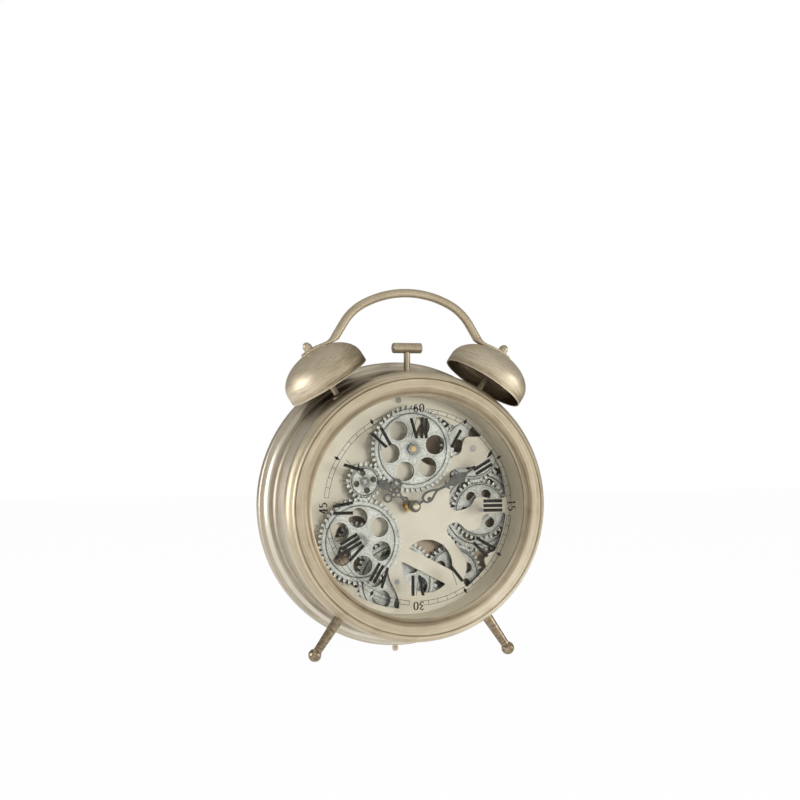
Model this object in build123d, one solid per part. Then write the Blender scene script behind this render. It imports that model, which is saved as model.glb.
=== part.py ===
from build123d import *
import os
from math import acos, atan2, cos, degrees, hypot, pi, radians, sin, sqrt, tan

# Twin-bell table clock with an open dial and a turning wheel train.
# Millimetres, +Z up, front towards -Y, Z = 0 on the table, Y = 0 at half the case depth.

# Case drum and fits
case_depth = 93.0
drum_wall = 1.5
train_room = 3.66
table_gap = 6.4
sheet_fit = 0.1
running_fit = 0.05
press_fit = 0.02
bolt_fit = 0.2

# Front bezel and glass
bezel_flare = 6.0
bezel_face_proud = 1.0
bezel_slope_width = 7.0
bezel_length = 20.0
bezel_crown_depth = 13.0
bezel_crown_drop = 1.4
bezel_crown_rise = 3.1
bezel_back_edge = 1.0
bezel_back_slope = 2.5
bezel_wall = 1.6
bezel_step = 0.5
bezel_step_length = 5.7
bezel_edge = 1.1
bezel_groove_inset = 2.8
bezel_groove_width = 0.9
bezel_groove_depth = 0.8
lip_depth = 4.5
lip_edge = 0.8
lip_clear = 0.2
glass_overlap = 8.0
glass_thickness = 2.0
glass_play = 0.5
seat_wall = 1.5
seat_overlap = 0.9

# Rear rim and cover
rim_flare = 16.6
rim_flange_width = 10.3
rim_shoulder_drop = 4.4
rim_bead_length = 7.2
rim_bead_drop = 4.6
rim_length = 24.5
rim_wall = 1.6
rim_edge = 1.2
rim_bead_fall = 0.8
rim_cove_sink = 0.6
rim_cove_run = 1.2
rim_slip_length = 2.0
cover_overlap = 6.2
cover_play = 0.3
cover_seam = 0.2
cover_depth = 5.0
cover_thickness = 1.2
ledge_reach = 4.0
cover_screw_offset = 2.5
cover_screw_angles = (45, 135, 225, 315)
access_side = 10.0
access_above = 12.0
access_below = 7.0
access_corner = 8.0

# Dial
dial_depth = 33.0
dial_thickness = 1.2
dial_gap = 1.0
wall_inset = 19.7
spacer_taper = 1.0
spacer_wall = 1.2
dial_ring_reach = 5.1
dial_ring_thickness = 1.5
window_margin = 0.2
dial_screw_inset = 2.0
dial_screw_angle = 6.0
dial_screw_head_radius = 2.7
dial_screw_head = 1.4
bar_width = 15.0
bar_angle = -27.0
left_bar_width = 10.0
left_bar_angle = 4.0
round_window_radius = 27.0

# Wheel train
centre_distance = 60.0
wheel_teeth = 48
idler_teeth = 20
medium_teeth = 34
lower_pinion_teeth = 37
corner_teeth = 38
tooth_play = 0.2
addendum = 0.9
dedendum = 1.2
pressure_angle = 20.0
wheel_thickness = 4.0
rear_wheel_thickness = 3.5
front_wheel_gap = 8.5
layer_gap = 2.2
layer_step = 1.0
upper_wheel_drop = 2.5
drawn_distance = 60.0
idler_direction = 212.9
left_direction = 265.7
lower_direction = -45.0
lower_idler_direction = 4.5972
right_direction = 67.3789
corner_direction = 98.0
upper_phase = 7.0
lower_phase = 1.0
lower_pinion_phase = 0.0
lower_idler_phase = 3.0
right_pinion_phase = 8.0
wheel_rim = 4.24
idler_rim = 1.83
right_rim = 1.88
corner_rim = 2.41
groove_width = 1.1
groove_depth = 0.6
wheel_hole = 10.0
wheel_hole_margin = 2.0
idler_hole = 3.2
idler_hole_margin = 1.5
right_hole = 5.5
right_hole_margin = 4.0
corner_hole = 7.0
corner_hole_margin = 6.5
collar_radius = 5.5
collar_length = 2.2
idler_boss = 4.0
stud_radius = 2.75
idler_stud_radius = 2.0
arbor_radius = 2.5
stud_flange_radius = 4.5
stud_proud = 0.6
idler_stud_proud = 0.9
rivet_proud = 0.6
rivet_head = 1.2
washer_thickness = 0.8
arbor_end = 1.0
arbor_front = 0.5
arbor_step = 2.0
end_play = 0.3
pillar_radius = 4.0
pillar_length = 15.8
pillar_bore = 8.0
pillar_thread = 7.0
train_plate_margin = 18.0
train_plate_thickness = 1.5
train_plate_gap = 2.0
pillar_screw_radius = 1.6
screw_head_radius = 3.2
screw_head = 2.0
screw_tip = 1.0

# Drive unit of the wheel train
drive_height = 46.0
drive_floor = 3.1
drive_rise = -1.0
drive_corner = 2.0
drive_bore_depth = 6.0
cell_radius = 7.0
cell_length = 50.0
cell_play = 0.2
cell_tip_radius = 2.7
cell_tip_length = 1.2
bay_side = 2.2
unit_wall = 1.6
switch_travel = 4.0
switch_length = 5.0
switch_width = 3.0
switch_proud = 2.2
switch_sunk = 2.0

# Quartz movement and hands
movement_top = 28.0
movement_corner = 3.0
movement_floor = 1.6
movement_front_wall = 2.0
room_gap = 0.4
motion_module = 0.5
cannon_teeth = 12
minute_wheel_teeth = 36
minute_pinion_teeth = 10
hour_wheel_teeth = 40
motion_pressure_angle = 25.0
motion_addendum = 0.8
motion_dedendum = 1.15
motion_play = 0.06
motion_layer = 2.0
motion_gap = 1.5
motion_step = 2.0
motion_hub = 1.0
pinion_lead = 0.4
pivot_floor = 0.6
pivot_play = 0.2
minute_radius = 1.7
hour_pipe_radius = 2.6
bush_radius = 4.0
bush_reach = 7.5
bush_nut_flats = 12.5
bush_nut_thickness = 2.8
set_arbor_radius = 1.2
knob_radius = 7.0
knob_length = 4.0
knob_gap = 0.5
hand_thickness = 0.8
hand_clearance = 0.6
hand_spacing = 3.1
hand_collar = 1.2
hour_collar_length = 2.9
minute_collar_length = 1.8
hour_pipe_proud = 0.3
cap_radius = 3.9
cap_length = 6.8
arbor_proud = 1.8
minute_angle = 59.0
scroll_width = 2.3
hour_angle = 305.2

# Feet
leg_angle = 34.8
leg_gap = 1.1
leg_straight = 6.0
leg_top_radius = 5.4
leg_foot_radius = 4.1
ball_radius = 6.6
ball_flat = 0.3
leg_stud_radius = 2.5
peg_radius = 2.8
peg_ball_radius = 3.2
peg_stud_radius = 1.8
peg_nut_gap = 0.35
nut_radius = 4.2
nut_length = 3.5
stud_end = 1.0

# Bells, handle and hammer
bell_angle = 33.3
bell_clearance = 2.4
bell_radius = 43.5
bell_height = 36.5
bell_skirt = 9.0
bell_wall = 1.4
post_radius = 3.0
post_collar_radius = 6.0
post_collar_length = 5.0
post_collar_edge = 1.5
post_collar_lip = 1.0
post_shoulder_radius = 5.0
post_shoulder_length = 3.0
post_stud_radius = 2.5
handle_radius = 4.4
handle_tab_thickness = 2.4
handle_tab_width = 11.0
handle_tab_outer = 9.0
handle_tab_inner = 17.0
handle_waist_reach = 23.0
handle_waist_width = 10.4
handle_waist_thickness = 3.8
handle_foot_reach = 26.5
handle_foot_lift = 2.5
handle_foot_run = 4.5
handle_leg_length = 36.2
handle_leg_slope = 58.5
handle_top_slope = 27.7
handle_shoulder_bend = 54.0
handle_straight = 0.3
handle_edge_flat = 0.65
handle_seam = 0.09
cap_nut_radius = 4.7
cap_nut_length = 4.2
cap_nut_dome = 4.0
hammer_head_radius = 5.3
hammer_head_length = 30.5
hammer_reach = 30.0
hammer_rod_radius = 3.3
hammer_spigot_radius = 2.4
pivot_depth = 18.0
hammer_swing = 30.0
hub_radius = 5.0
hub_thickness = 4.0
ear_thickness = 1.5
ear_gap = 0.3
ear_shoulder = 3.5
pivot_radius = 1.5
pin_proud = 0.3
pin_clearance = 0.2
slot_clearance = 1.0
hub_edge = 0.5
rod_overlap = 0.6
head_edge = 0.8
spigot_end = 2.0
bracket_half = 22.0
bracket_bridge = 5.0
bracket_depth = 6.0



def step(start, distance, direction):
    """Point at a distance and direction, counter-clockwise from +X, in the dial plane."""
    return (start[0] + distance * cos(radians(direction)), start[1] + distance * sin(radians(direction)))


def polar(radius, angle):
    """Point at a radius and counter-clockwise angle in degrees."""
    return (radius * cos(radians(angle)), radius * sin(radians(angle)))


# Wheel centres from the clock axis, each found from the wheel before it
wheel_module = 2 * centre_distance / (wheel_teeth + idler_teeth)
upper_centre = (0.0, centre_distance - upper_wheel_drop)
idler_centre = step(upper_centre, centre_distance, idler_direction)
left_centre = step(idler_centre, centre_distance, left_direction)
lower_centre = step(left_centre, centre_distance, lower_direction)
lower_idler_distance = wheel_module * (lower_pinion_teeth + medium_teeth) / 2
lower_idler_centre = step(lower_centre, lower_idler_distance, lower_idler_direction)
right_distance = wheel_module * (medium_teeth + wheel_teeth) / 2
right_centre = step(lower_idler_centre, right_distance, right_direction)
corner_distance = wheel_module * (medium_teeth + corner_teeth) / 2
corner_centre = step(right_centre, corner_distance, corner_direction)
train_scale = centre_distance / drawn_distance


def tip_reach(centre, teeth):
    """Distance from the clock axis to the farthest tooth tip of a wheel."""
    return hypot(*centre) + wheel_module * (teeth / 2 + addendum)


def groove_at(teeth, rim):
    """Radius of a wheel's engraved ring, one rim width inside the tooth roots."""
    return wheel_module * (teeth / 2 - dedendum) - rim


wheel_groove_radius = groove_at(wheel_teeth, wheel_rim)
idler_groove_radius = groove_at(idler_teeth, idler_rim)
right_groove_radius = groove_at(medium_teeth, right_rim)
corner_groove_radius = groove_at(corner_teeth, corner_rim)
wheel_hole_circle = wheel_groove_radius - wheel_hole - wheel_hole_margin
idler_hole_circle = idler_groove_radius - idler_hole - idler_hole_margin
right_hole_circle = right_groove_radius - right_hole - right_hole_margin
corner_hole_circle = corner_groove_radius - corner_hole - corner_hole_margin

# Radii of the case, built outwards from the wheel train
large_wheels = (upper_centre, left_centre, lower_centre, right_centre)
wheel_reaches = [tip_reach(centre, wheel_teeth) for centre in large_wheels]
train_reach = max(tip_reach(corner_centre, corner_teeth), *wheel_reaches)
drum_radius = train_reach + train_room + drum_wall
spacer_back_radius = drum_radius - wall_inset
spacer_front_radius = spacer_back_radius + spacer_taper
bezel_lip_radius = spacer_front_radius + lip_clear
bezel_face_inner = bezel_lip_radius + bezel_slope_width
bezel_face_radius = drum_radius + bezel_face_proud
bezel_radius = drum_radius + bezel_flare
glass_radius = bezel_lip_radius + glass_overlap
dial_ring_inner = spacer_back_radius - dial_ring_reach
window_limit = dial_ring_inner - window_margin
dial_screw_radius = dial_ring_inner + dial_screw_inset
train_plate_radius = drum_radius - train_plate_margin
rim_radius = drum_radius + rim_flare
cover_radius = drum_radius + cover_overlap
ledge_inner_radius = drum_radius - ledge_reach
cover_screw_radius = drum_radius + cover_screw_offset
axis_height = rim_radius + table_gap
peg_inset = (rim_flange_width + rim_edge) / 2
peg_nut_radius = peg_inset - rim_wall - peg_nut_gap

# Sizes of the drive unit and the movement, built round their cells
bay_height = 2 * (cell_radius + cell_play)
bay_width = cell_length + cell_tip_length + 2 * cell_play
drive_width = bay_width + 2 * bay_side
drive_depth = bay_height + drive_floor
movement_width = bay_width + 2 * bay_side
movement_depth = bay_height + movement_floor
motion_centre = (0.0, motion_module * (cannon_teeth + minute_wheel_teeth) / 2)
hour_module = 2 * motion_centre[1] / (minute_pinion_teeth + hour_wheel_teeth)
room_low = -hour_module * (hour_wheel_teeth / 2 + motion_addendum) - room_gap
room_high = movement_top - unit_wall
movement_low = room_low - 2 * unit_wall - bay_height
movement_height = movement_top - movement_low
movement_middle = (movement_top + movement_low) / 2

# Positions along the depth
front_y = -case_depth / 2
rear_y = case_depth / 2
glass_front_y = front_y + lip_depth
glass_back_y = glass_front_y + glass_thickness
seat_back_y = glass_back_y + seat_overlap
dial_front_y = glass_back_y + dial_depth
dial_back_y = dial_front_y + dial_thickness
ring_back_y = dial_back_y + dial_ring_thickness
front_wheel_back_y = dial_front_y - front_wheel_gap
front_wheel_y = front_wheel_back_y - wheel_thickness
stud_front_y = front_wheel_y - collar_length - stud_proud
hour_hand_y = stud_front_y - hand_clearance - hand_thickness
minute_hand_y = hour_hand_y - hand_spacing - hand_thickness
layer_a_y = dial_back_y + layer_gap
layer_a_back_y = layer_a_y + rear_wheel_thickness
layer_b_y = layer_a_back_y + layer_step
layer_b_back_y = layer_b_y + rear_wheel_thickness
layer_c_y = layer_b_back_y + layer_step
layer_c_back_y = layer_c_y + rear_wheel_thickness
plate_y = dial_back_y + pillar_length
plate_back_y = plate_y + train_plate_thickness
movement_back_y = dial_back_y + movement_depth
movement_inner_y = dial_back_y + movement_front_wall
cover_front_y = rear_y - cover_depth
bezel_back_y = front_y + bezel_length
leg_y = bezel_back_y + leg_gap + leg_top_radius
drum_front_y = seat_back_y + sheet_fit
drum_back_y = cover_front_y - rim_wall - sheet_fit
hub_half = hub_thickness / 2
ear_inner = hub_half + ear_gap
ear_outer = ear_inner + ear_thickness
bell_y = ring_back_y + pin_clearance + pin_proud + ear_outer

clock_axis = Axis((0, 0, axis_height), (0, 1, 0))
profile_plane = Plane(origin=(0, 0, axis_height))


def dial_plane(y):
    """Plane facing the front at depth y: local x is X, local y is height above the dial centre."""
    return Plane(origin=(0, y, axis_height), x_dir=(1, 0, 0), z_dir=(0, -1, 0))


def slab(sketch, y_front, y_back):
    """Solid with the outline of a front-facing sketch between two depths."""
    return extrude(dial_plane(y_back) * sketch, amount=y_back - y_front)


def pin(centre, radius, y_front, y_back):
    """Round pin along the depth."""
    return slab(Pos(*centre) * Circle(radius), y_front, y_back)


def turned(*edges):
    """Ring turned about the clock axis from a section drawn as radius and depth."""
    return revolve(profile_plane * make_face(edges), axis=clock_axis)


def lathe(*edges):
    """Solid turned about the vertical from a section drawn as radius and height."""
    return revolve(Plane.XZ * make_face(edges), axis=Axis.Z)


def rod(radius, low, high):
    """Upright round bar between two heights."""
    return Pos(0, 0, low) * Cylinder(radius, high - low, align=(Align.CENTER, Align.CENTER, Align.MIN))


def radial(angle, y):
    """Location whose +Z points out of the clock axis, clockwise from twelve o'clock."""
    return Pos(0, y, axis_height) * Rot(0, angle, 0)


def drum_core(radius):
    """Cylinder about the clock axis, longer than the case, used for saddle cuts."""
    return Pos(0, 0, axis_height) * Rot(90, 0, 0) * Cylinder(radius, 2 * case_depth)


def save(shape, node):
    """Write one sub-part."""
    export_step(shape, "parts/" + node + ".step")


def group(shapes):
    """Loose like pieces kept as one sub-part."""
    return Compound(children=list(shapes))


def gear(teeth, module, pressure=pressure_angle, tip=addendum, foot=dedendum, play=tooth_play):
    """Involute wheel outline with one tooth centred on +x; each tooth is thinned by half the play."""
    pitch = module * teeth / 2
    base = pitch * cos(radians(pressure))
    tip_radius = pitch + tip * module
    root_radius = pitch - foot * module
    flank_foot = max(base, root_radius)
    half_pitch_angle = pi / (2 * teeth) - play / (4 * pitch)
    pressure_involute = tan(radians(pressure)) - radians(pressure)

    def flank(radius, side, centre):
        slope = acos(min(1.0, base / radius))
        half = half_pitch_angle + pressure_involute - (tan(slope) - slope)
        return polar(radius, centre + side * degrees(half))

    edges = []
    middle = (flank_foot + tip_radius) / 2
    pitch_angle = 360 / teeth
    foot_half = degrees(half_pitch_angle + pressure_involute)
    foot_slope = acos(min(1.0, base / flank_foot))
    foot_half = foot_half - degrees(tan(foot_slope) - foot_slope)
    for tooth in range(teeth):
        centre = tooth * pitch_angle
        rise = [flank(radius, -1, centre) for radius in (flank_foot, middle, tip_radius)]
        fall = [flank(radius, 1, centre) for radius in (tip_radius, middle, flank_foot)]
        if root_radius < base:
            edges.append(Line(polar(root_radius, centre - foot_half), rise[0]))
        edges.append(ThreePointArc(*rise))
        edges.append(ThreePointArc(rise[2], polar(tip_radius, centre), fall[0]))
        edges.append(ThreePointArc(*fall))
        if root_radius < base:
            edges.append(Line(fall[2], polar(root_radius, centre + foot_half)))
        root_start = polar(root_radius, centre + foot_half)
        root_end = polar(root_radius, centre + pitch_angle - foot_half)
        edges.append(ThreePointArc(root_start, polar(root_radius, centre + pitch_angle / 2), root_end))
    return make_face(edges)


def mesh_phase(phase, teeth, direction, other_teeth):
    """Tooth angle of a wheel that meshes with a wheel of known tooth angle in a given direction."""
    return direction + 180 - (phase - direction) * teeth / other_teeth + 180 / other_teeth


def pierced(outline, bore, holes, hole_radius, hole_circle, hole_phase):
    """Wheel outline with a bore and a ring of round holes."""
    sketch = outline - Circle(bore)
    for number in range(holes):
        sketch -= Pos(*polar(hole_circle, hole_phase + number * 360 / holes)) * Circle(hole_radius)
    return sketch


def ring(outer, inner):
    """Flat ring outline."""
    return Circle(outer) - Circle(inner)


def wheel(centre, outline, phase, y_front, y_back, groove_radius):
    """Toothed wheel with an engraved ring on its front face."""
    place = Pos(*centre)
    body = slab(place * Rot(0, 0, phase) * outline, y_front, y_back)
    groove = ring(groove_radius + groove_width / 2, groove_radius - groove_width / 2)
    return body - slab(place * groove, y_front - groove_depth, y_front + groove_depth)


def boss(centre, outer, bore, y_front, y_back):
    """Hub ring of a wheel."""
    return slab(Pos(*centre) * ring(outer, bore), y_front, y_back)


def offset_points(origin, points):
    """Outline points measured from a wheel centre, drawn for one centre distance and scaled with it."""
    return [(origin[0] + train_scale * x, origin[1] + train_scale * z) for x, z in points]


def smooth(points):
    """Face inside a smooth closed curve through the points."""
    return make_face(Spline(*points, periodic=True))


def screw(centre, head_radius, head, shank_radius, y_seat, length, side):
    """Pan-head screw along the depth; side -1 has its head in front of the seat, +1 behind it."""
    head_faces = sorted((y_seat, y_seat + side * head))
    shank_faces = sorted((y_seat, y_seat - side * length))
    return pin(centre, head_radius, *head_faces) + pin(centre, shank_radius, *shank_faces)


# Tooth angles, carried from wheel to wheel so that every pair meshes
idler_phase = mesh_phase(upper_phase, wheel_teeth, idler_direction, idler_teeth)
left_phase = mesh_phase(idler_phase, idler_teeth, left_direction, wheel_teeth)
left_pinion_phase = mesh_phase(lower_phase, wheel_teeth, lower_direction + 180, idler_teeth)
idler_rear_phase = mesh_phase(lower_pinion_phase, lower_pinion_teeth, lower_idler_direction, medium_teeth)
right_phase = mesh_phase(lower_idler_phase, medium_teeth, right_direction, wheel_teeth)
corner_phase = mesh_phase(right_pinion_phase, medium_teeth, corner_direction, corner_teeth)

pillar_points = [(-85.0, 45.0), (0.0, 98.0), (34.5, -29.5), (-92.0, -35.0), (39.0, 24.0)]
pillar_centres = offset_points((0.0, 0.0), pillar_points)
dial_screws_at = [polar(dial_screw_radius, angle + dial_screw_angle) for angle in (90, 180)]
cover_screws_at = [polar(cover_screw_radius, angle) for angle in cover_screw_angles]
drive_centre = (lower_centre[0], lower_centre[1] + drive_rise)

os.makedirs("parts", exist_ok=True)

# Drum: rolled sheet tube with holes for the posts and legs and a slot for the hammer
slot_half = pivot_depth * tan(radians(hammer_swing)) + hammer_rod_radius / cos(radians(hammer_swing))
slot_half += slot_clearance
drum = slab(ring(drum_radius, drum_radius - drum_wall), drum_front_y, drum_back_y)
for side in (-1, 1):
    post_hole = rod(post_stud_radius + bolt_fit, drum_radius / 2, 2 * drum_radius)
    leg_hole = rod(leg_stud_radius + bolt_fit, drum_radius / 2, 2 * drum_radius)
    drum -= radial(side * bell_angle, bell_y) * post_hole
    drum -= radial(180 - side * leg_angle, leg_y) * leg_hole
slot_width = 2 * (hammer_rod_radius + slot_clearance)
drum -= Pos(0, bell_y, axis_height + drum_radius) * Box(2 * slot_half, slot_width, drum_radius / 2)
save(drum, "case_drum")

# Bezel: spun sheet ring with a seat for the glass, slipped over the front of the drum
seat_radius = glass_radius + glass_play
slip_radius = drum_radius + sheet_fit
groove_radius = bezel_face_radius - bezel_groove_inset
bezel_side_y = front_y + bezel_step_length
bezel_crown_y = front_y + bezel_crown_depth
bezel_face = Polyline(
    (bezel_lip_radius, glass_front_y),
    (bezel_lip_radius, glass_front_y - lip_edge),
    (bezel_face_inner, front_y),
    (groove_radius - bezel_groove_width, front_y),
    (groove_radius, front_y + bezel_groove_depth),
    (groove_radius + bezel_groove_width, front_y),
    (bezel_face_radius - bezel_edge, front_y),
    (bezel_face_radius, front_y + bezel_edge),
    (bezel_face_radius + bezel_step, bezel_side_y),
)
bezel_crown = ThreePointArc(
    (bezel_face_radius + bezel_step, bezel_side_y),
    (bezel_radius - bezel_crown_drop, bezel_side_y + bezel_crown_rise),
    (bezel_radius, bezel_crown_y),
)
bezel_inside = Polyline(
    (bezel_radius, bezel_crown_y),
    (bezel_radius, bezel_back_y - bezel_back_slope),
    (bezel_radius - bezel_back_edge, bezel_back_y),
    (slip_radius, bezel_back_y),
    (slip_radius, bezel_back_y - bezel_wall),
    (bezel_radius - bezel_wall, bezel_back_y - bezel_wall),
    (bezel_radius - bezel_wall, bezel_crown_y),
    (bezel_face_radius + bezel_step, seat_back_y + bezel_wall),
    (slip_radius, seat_back_y + bezel_wall),
    (slip_radius, seat_back_y),
    (bezel_face_radius - bezel_edge, seat_back_y),
    (bezel_face_radius - bezel_edge, front_y + bezel_wall),
    (seat_radius + seat_wall, front_y + bezel_wall),
    (seat_radius + seat_wall, seat_back_y),
    (seat_radius, seat_back_y),
    (seat_radius, glass_front_y),
    (bezel_lip_radius, glass_front_y),
)
save(turned(bezel_face, bezel_crown, bezel_inside), "front_bezel")

# Glass: flat disc in the bezel seat, its numbers are printed on the rear face
save(slab(Circle(glass_radius), glass_front_y, glass_back_y), "glass")

# Spacer: thin cone between glass and dial, the grey wall seen round the dial
spacer_section = Polyline(
    (spacer_front_radius, glass_back_y),
    (spacer_back_radius, dial_front_y),
    (spacer_back_radius + spacer_wall, dial_front_y),
    (spacer_front_radius + spacer_wall, glass_back_y),
    close=True,
)
save(turned(spacer_section), "dial_spacer")

# Dial: cream plate with free-form windows onto the rear train, outlines measured from the wheels they show
window_upper = smooth(offset_points(corner_centre, [
    (-19, -7), (-12.5, -1.5), (-11, 6.5), (-7, 11.5), (1, 12), (10, 13.5), (15, 21), (-7, 35), (-15, 25.5),
    (-24, 24.5), (-33, 30.5), (-42, 32.5), (-57, 25.5), (-62.5, 12.5), (-61.5, -1.5), (-55, -12.5),
    (-45, -17), (-33, -15.5), (-24, -10.5)]))
window_right = smooth(offset_points(right_centre, [
    (-34.5, 33.5), (-33.5, 39), (-29.5, 42), (-20.5, 43.5), (-9.5, 44.5), (-1.5, 47.5), (5.5, 52.5),
    (9.5, 60), (26, 60), (34, 34), (26, 13), (2.5, 12.5), (-2.5, 13), (-6.5, 11.5), (-9.5, 6.5),
    (-14.5, 2.5), (-21.5, 0), (-27.5, -0.5), (-31.5, 1), (-34, 4.5), (-34.5, 15.5)]))
window_crescent = smooth(offset_points(right_centre, [
    (-37, -19.5), (-35.5, -16), (-31.5, -13.5), (-26.5, -13), (-21.5, -15.5), (-17.5, -19.5),
    (-11.5, -21.5), (-5.5, -20), (-0.5, -15), (1.5, -7.5), (6.5, -4), (14.5, -3.5), (26, -4), (30, -22),
    (15.5, -42.5), (7.5, -45.5), (3.5, -51.5), (5.5, -58.5), (2, -74), (-15.5, -78.5), (-19, -74.5),
    (-17.5, -66.5), (-16, -56.5), (-17.5, -49.5), (-20.5, -44.5), (-26.5, -36.5), (-32.5, -28.5),
    (-37, -22.5)]))
window_left = smooth(offset_points(left_centre, [
    (-3, 25), (-15, 18.5), (-22.5, 4.5), (-19, -8.5), (-25, -18.5), (-25, -31.5), (-17, -41), (-5, -44.5),
    (1, -52.5), (4, -66), (22, -80), (41, -78), (44.5, -64.5), (41, -52.5), (35, -40.5), (33, -28.5),
    (36, -14.5), (32, -1.5), (19, 3.5), (12, 13.5), (6, 23)]))
left_bar = Rectangle(wheel_teeth * wheel_module, left_bar_width)
window_left -= Pos(*left_centre) * Rot(0, 0, left_bar_angle) * left_bar
round_bar = Rectangle(wheel_teeth * wheel_module, bar_width)
window_round = Circle(round_window_radius * train_scale) - Rot(0, 0, bar_angle) * round_bar
round_centre = offset_points(lower_centre, [(32, 15.3)])[0]
window_round = Pos(*round_centre) * window_round
dial_outline = Circle(drum_radius - drum_wall - dial_gap)
for window in (window_upper, window_right, window_crescent, window_left, window_round):
    dial_outline -= window & Circle(window_limit)
dial_outline -= Circle(bush_radius + bolt_fit)
for centre in dial_screws_at:
    dial_outline -= Pos(*centre) * Circle(pillar_screw_radius + bolt_fit)
dial_outline -= Pos(*left_centre) * Circle(stud_radius + running_fit)
dial_outline -= Pos(*lower_centre) * Circle(arbor_radius + running_fit)
dial_outline -= Pos(*right_centre) * Circle(arbor_radius + running_fit)
dial_outline -= Pos(*upper_centre) * Circle(idler_stud_radius)
dial_outline -= Pos(*idler_centre) * Circle(idler_stud_radius)
dial_outline -= Pos(*corner_centre) * Circle(idler_stud_radius)
save(slab(dial_outline, dial_front_y, dial_back_y), "dial_plate")

# Support ring welded inside the drum, and the two screws that hold the dial to it
dial_ring = ring(drum_radius - drum_wall - sheet_fit, dial_ring_inner)
for centre in dial_screws_at:
    dial_ring -= Pos(*centre) * Circle(pillar_screw_radius + press_fit)
save(slab(dial_ring, dial_back_y, ring_back_y), "dial_ring")
dial_screw_length = dial_thickness + dial_ring_thickness + screw_tip
dial_screws = []
dial_head = (dial_screw_head_radius, dial_screw_head)
for centre in dial_screws_at:
    dial_screws.append(screw(
        centre, *dial_head, pillar_screw_radius, dial_front_y, dial_screw_length, -1))
save(group(dial_screws), "dial_screws")

# Train plate behind the dial on five pillars, cut out round the movement
movement_hole = Rectangle(movement_width + 2 * train_plate_gap, movement_height + 2 * train_plate_gap)
train_outline = Circle(train_plate_radius) - Pos(0, movement_middle) * movement_hole
for centre in pillar_centres:
    train_outline -= Pos(*centre) * Circle(pillar_screw_radius + bolt_fit)
train_outline -= Pos(*left_centre) * Circle(arbor_radius + running_fit)
train_outline -= Pos(*lower_centre) * Circle(arbor_radius + running_fit)
train_outline -= Pos(*right_centre) * Circle(arbor_radius + running_fit)
train_outline -= Pos(*lower_idler_centre) * Circle(idler_stud_radius)
save(slab(train_outline, plate_y, plate_back_y), "train_plate")
pillars = []
for centre in pillar_centres:
    bore = pin(centre, pillar_screw_radius, plate_y - pillar_bore, plate_y)
    pillars.append(pin(centre, pillar_radius, dial_back_y, plate_y) - bore)
save(group(pillars), "train_pillars")
pillar_screw_length = train_plate_thickness + pillar_thread
screw_shank = pillar_screw_radius - press_fit
pillar_screws = []
for centre in pillar_centres:
    pillar_screws.append(screw(
        centre, screw_head_radius, screw_head, screw_shank, plate_back_y, pillar_screw_length, 1))
save(group(pillar_screws), "pillar_screws")

# Wheel outlines: the two wheels of each size share one outline
large_teeth = gear(wheel_teeth, wheel_module)
small_teeth = gear(idler_teeth, wheel_module)
stud_bore = stud_radius + running_fit
idler_bore = idler_stud_radius + running_fit
arbor_bore = arbor_radius + press_fit

# Upper wheel: cast wheel turning on a brass stud riveted into the dial
upper_outline = pierced(large_teeth, stud_bore, 6, wheel_hole, wheel_hole_circle, 10 - upper_phase)
front_layer = (front_wheel_y, front_wheel_back_y)
collar_front_y = front_wheel_y - collar_length
upper = wheel(upper_centre, upper_outline, upper_phase, *front_layer, wheel_groove_radius)
upper += boss(upper_centre, collar_radius, stud_bore, collar_front_y, front_wheel_y)
upper += boss(upper_centre, collar_radius, stud_bore, front_wheel_back_y, front_wheel_back_y + collar_length)
save(upper, "upper_wheel")
upper_stud = pin(upper_centre, stud_radius, stud_front_y, dial_front_y)
upper_flange_y = front_wheel_back_y + collar_length + end_play
upper_stud += pin(upper_centre, stud_flange_radius, upper_flange_y, dial_front_y)
upper_stud += pin(upper_centre, idler_stud_radius - press_fit, dial_front_y, dial_back_y + rivet_proud)
save(upper_stud, "upper_stud")

# Idler wheel between the two front wheels, on its own stud
idler_outline = pierced(small_teeth, idler_bore, 4, idler_hole, idler_hole_circle, 14 - idler_phase)
idler = wheel(idler_centre, idler_outline, idler_phase, *front_layer, idler_groove_radius)
idler += boss(idler_centre, idler_boss, idler_bore, front_wheel_y - end_play, front_wheel_y)
save(idler, "idler_wheel")

# Left wheel: on an arbor that runs through the dial and carries a pinion behind it
left_bore = stud_radius + press_fit
left_outline = pierced(large_teeth, left_bore, 6, wheel_hole, wheel_hole_circle, 36 - left_phase)
left = wheel(left_centre, left_outline, left_phase, *front_layer, wheel_groove_radius)
left += boss(left_centre, collar_radius, left_bore, collar_front_y, front_wheel_y)
left += boss(left_centre, collar_radius, left_bore, front_wheel_back_y, dial_front_y - end_play)
save(left, "left_wheel")
left_shoulder_y = layer_b_back_y + arbor_step
left_arbor = pin(left_centre, stud_radius, stud_front_y, left_shoulder_y)
left_arbor += pin(left_centre, arbor_radius, left_shoulder_y, plate_back_y + arbor_end)
save(left_arbor, "left_arbor")
left_pinion_outline = Rot(0, 0, left_pinion_phase) * (small_teeth - Circle(left_bore))
left_pinion = slab(Pos(*left_centre) * left_pinion_outline, layer_a_y, layer_a_back_y)
left_pinion += boss(left_centre, collar_radius, left_bore, layer_a_back_y, layer_b_back_y)
save(left_pinion, "left_pinion")

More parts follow.
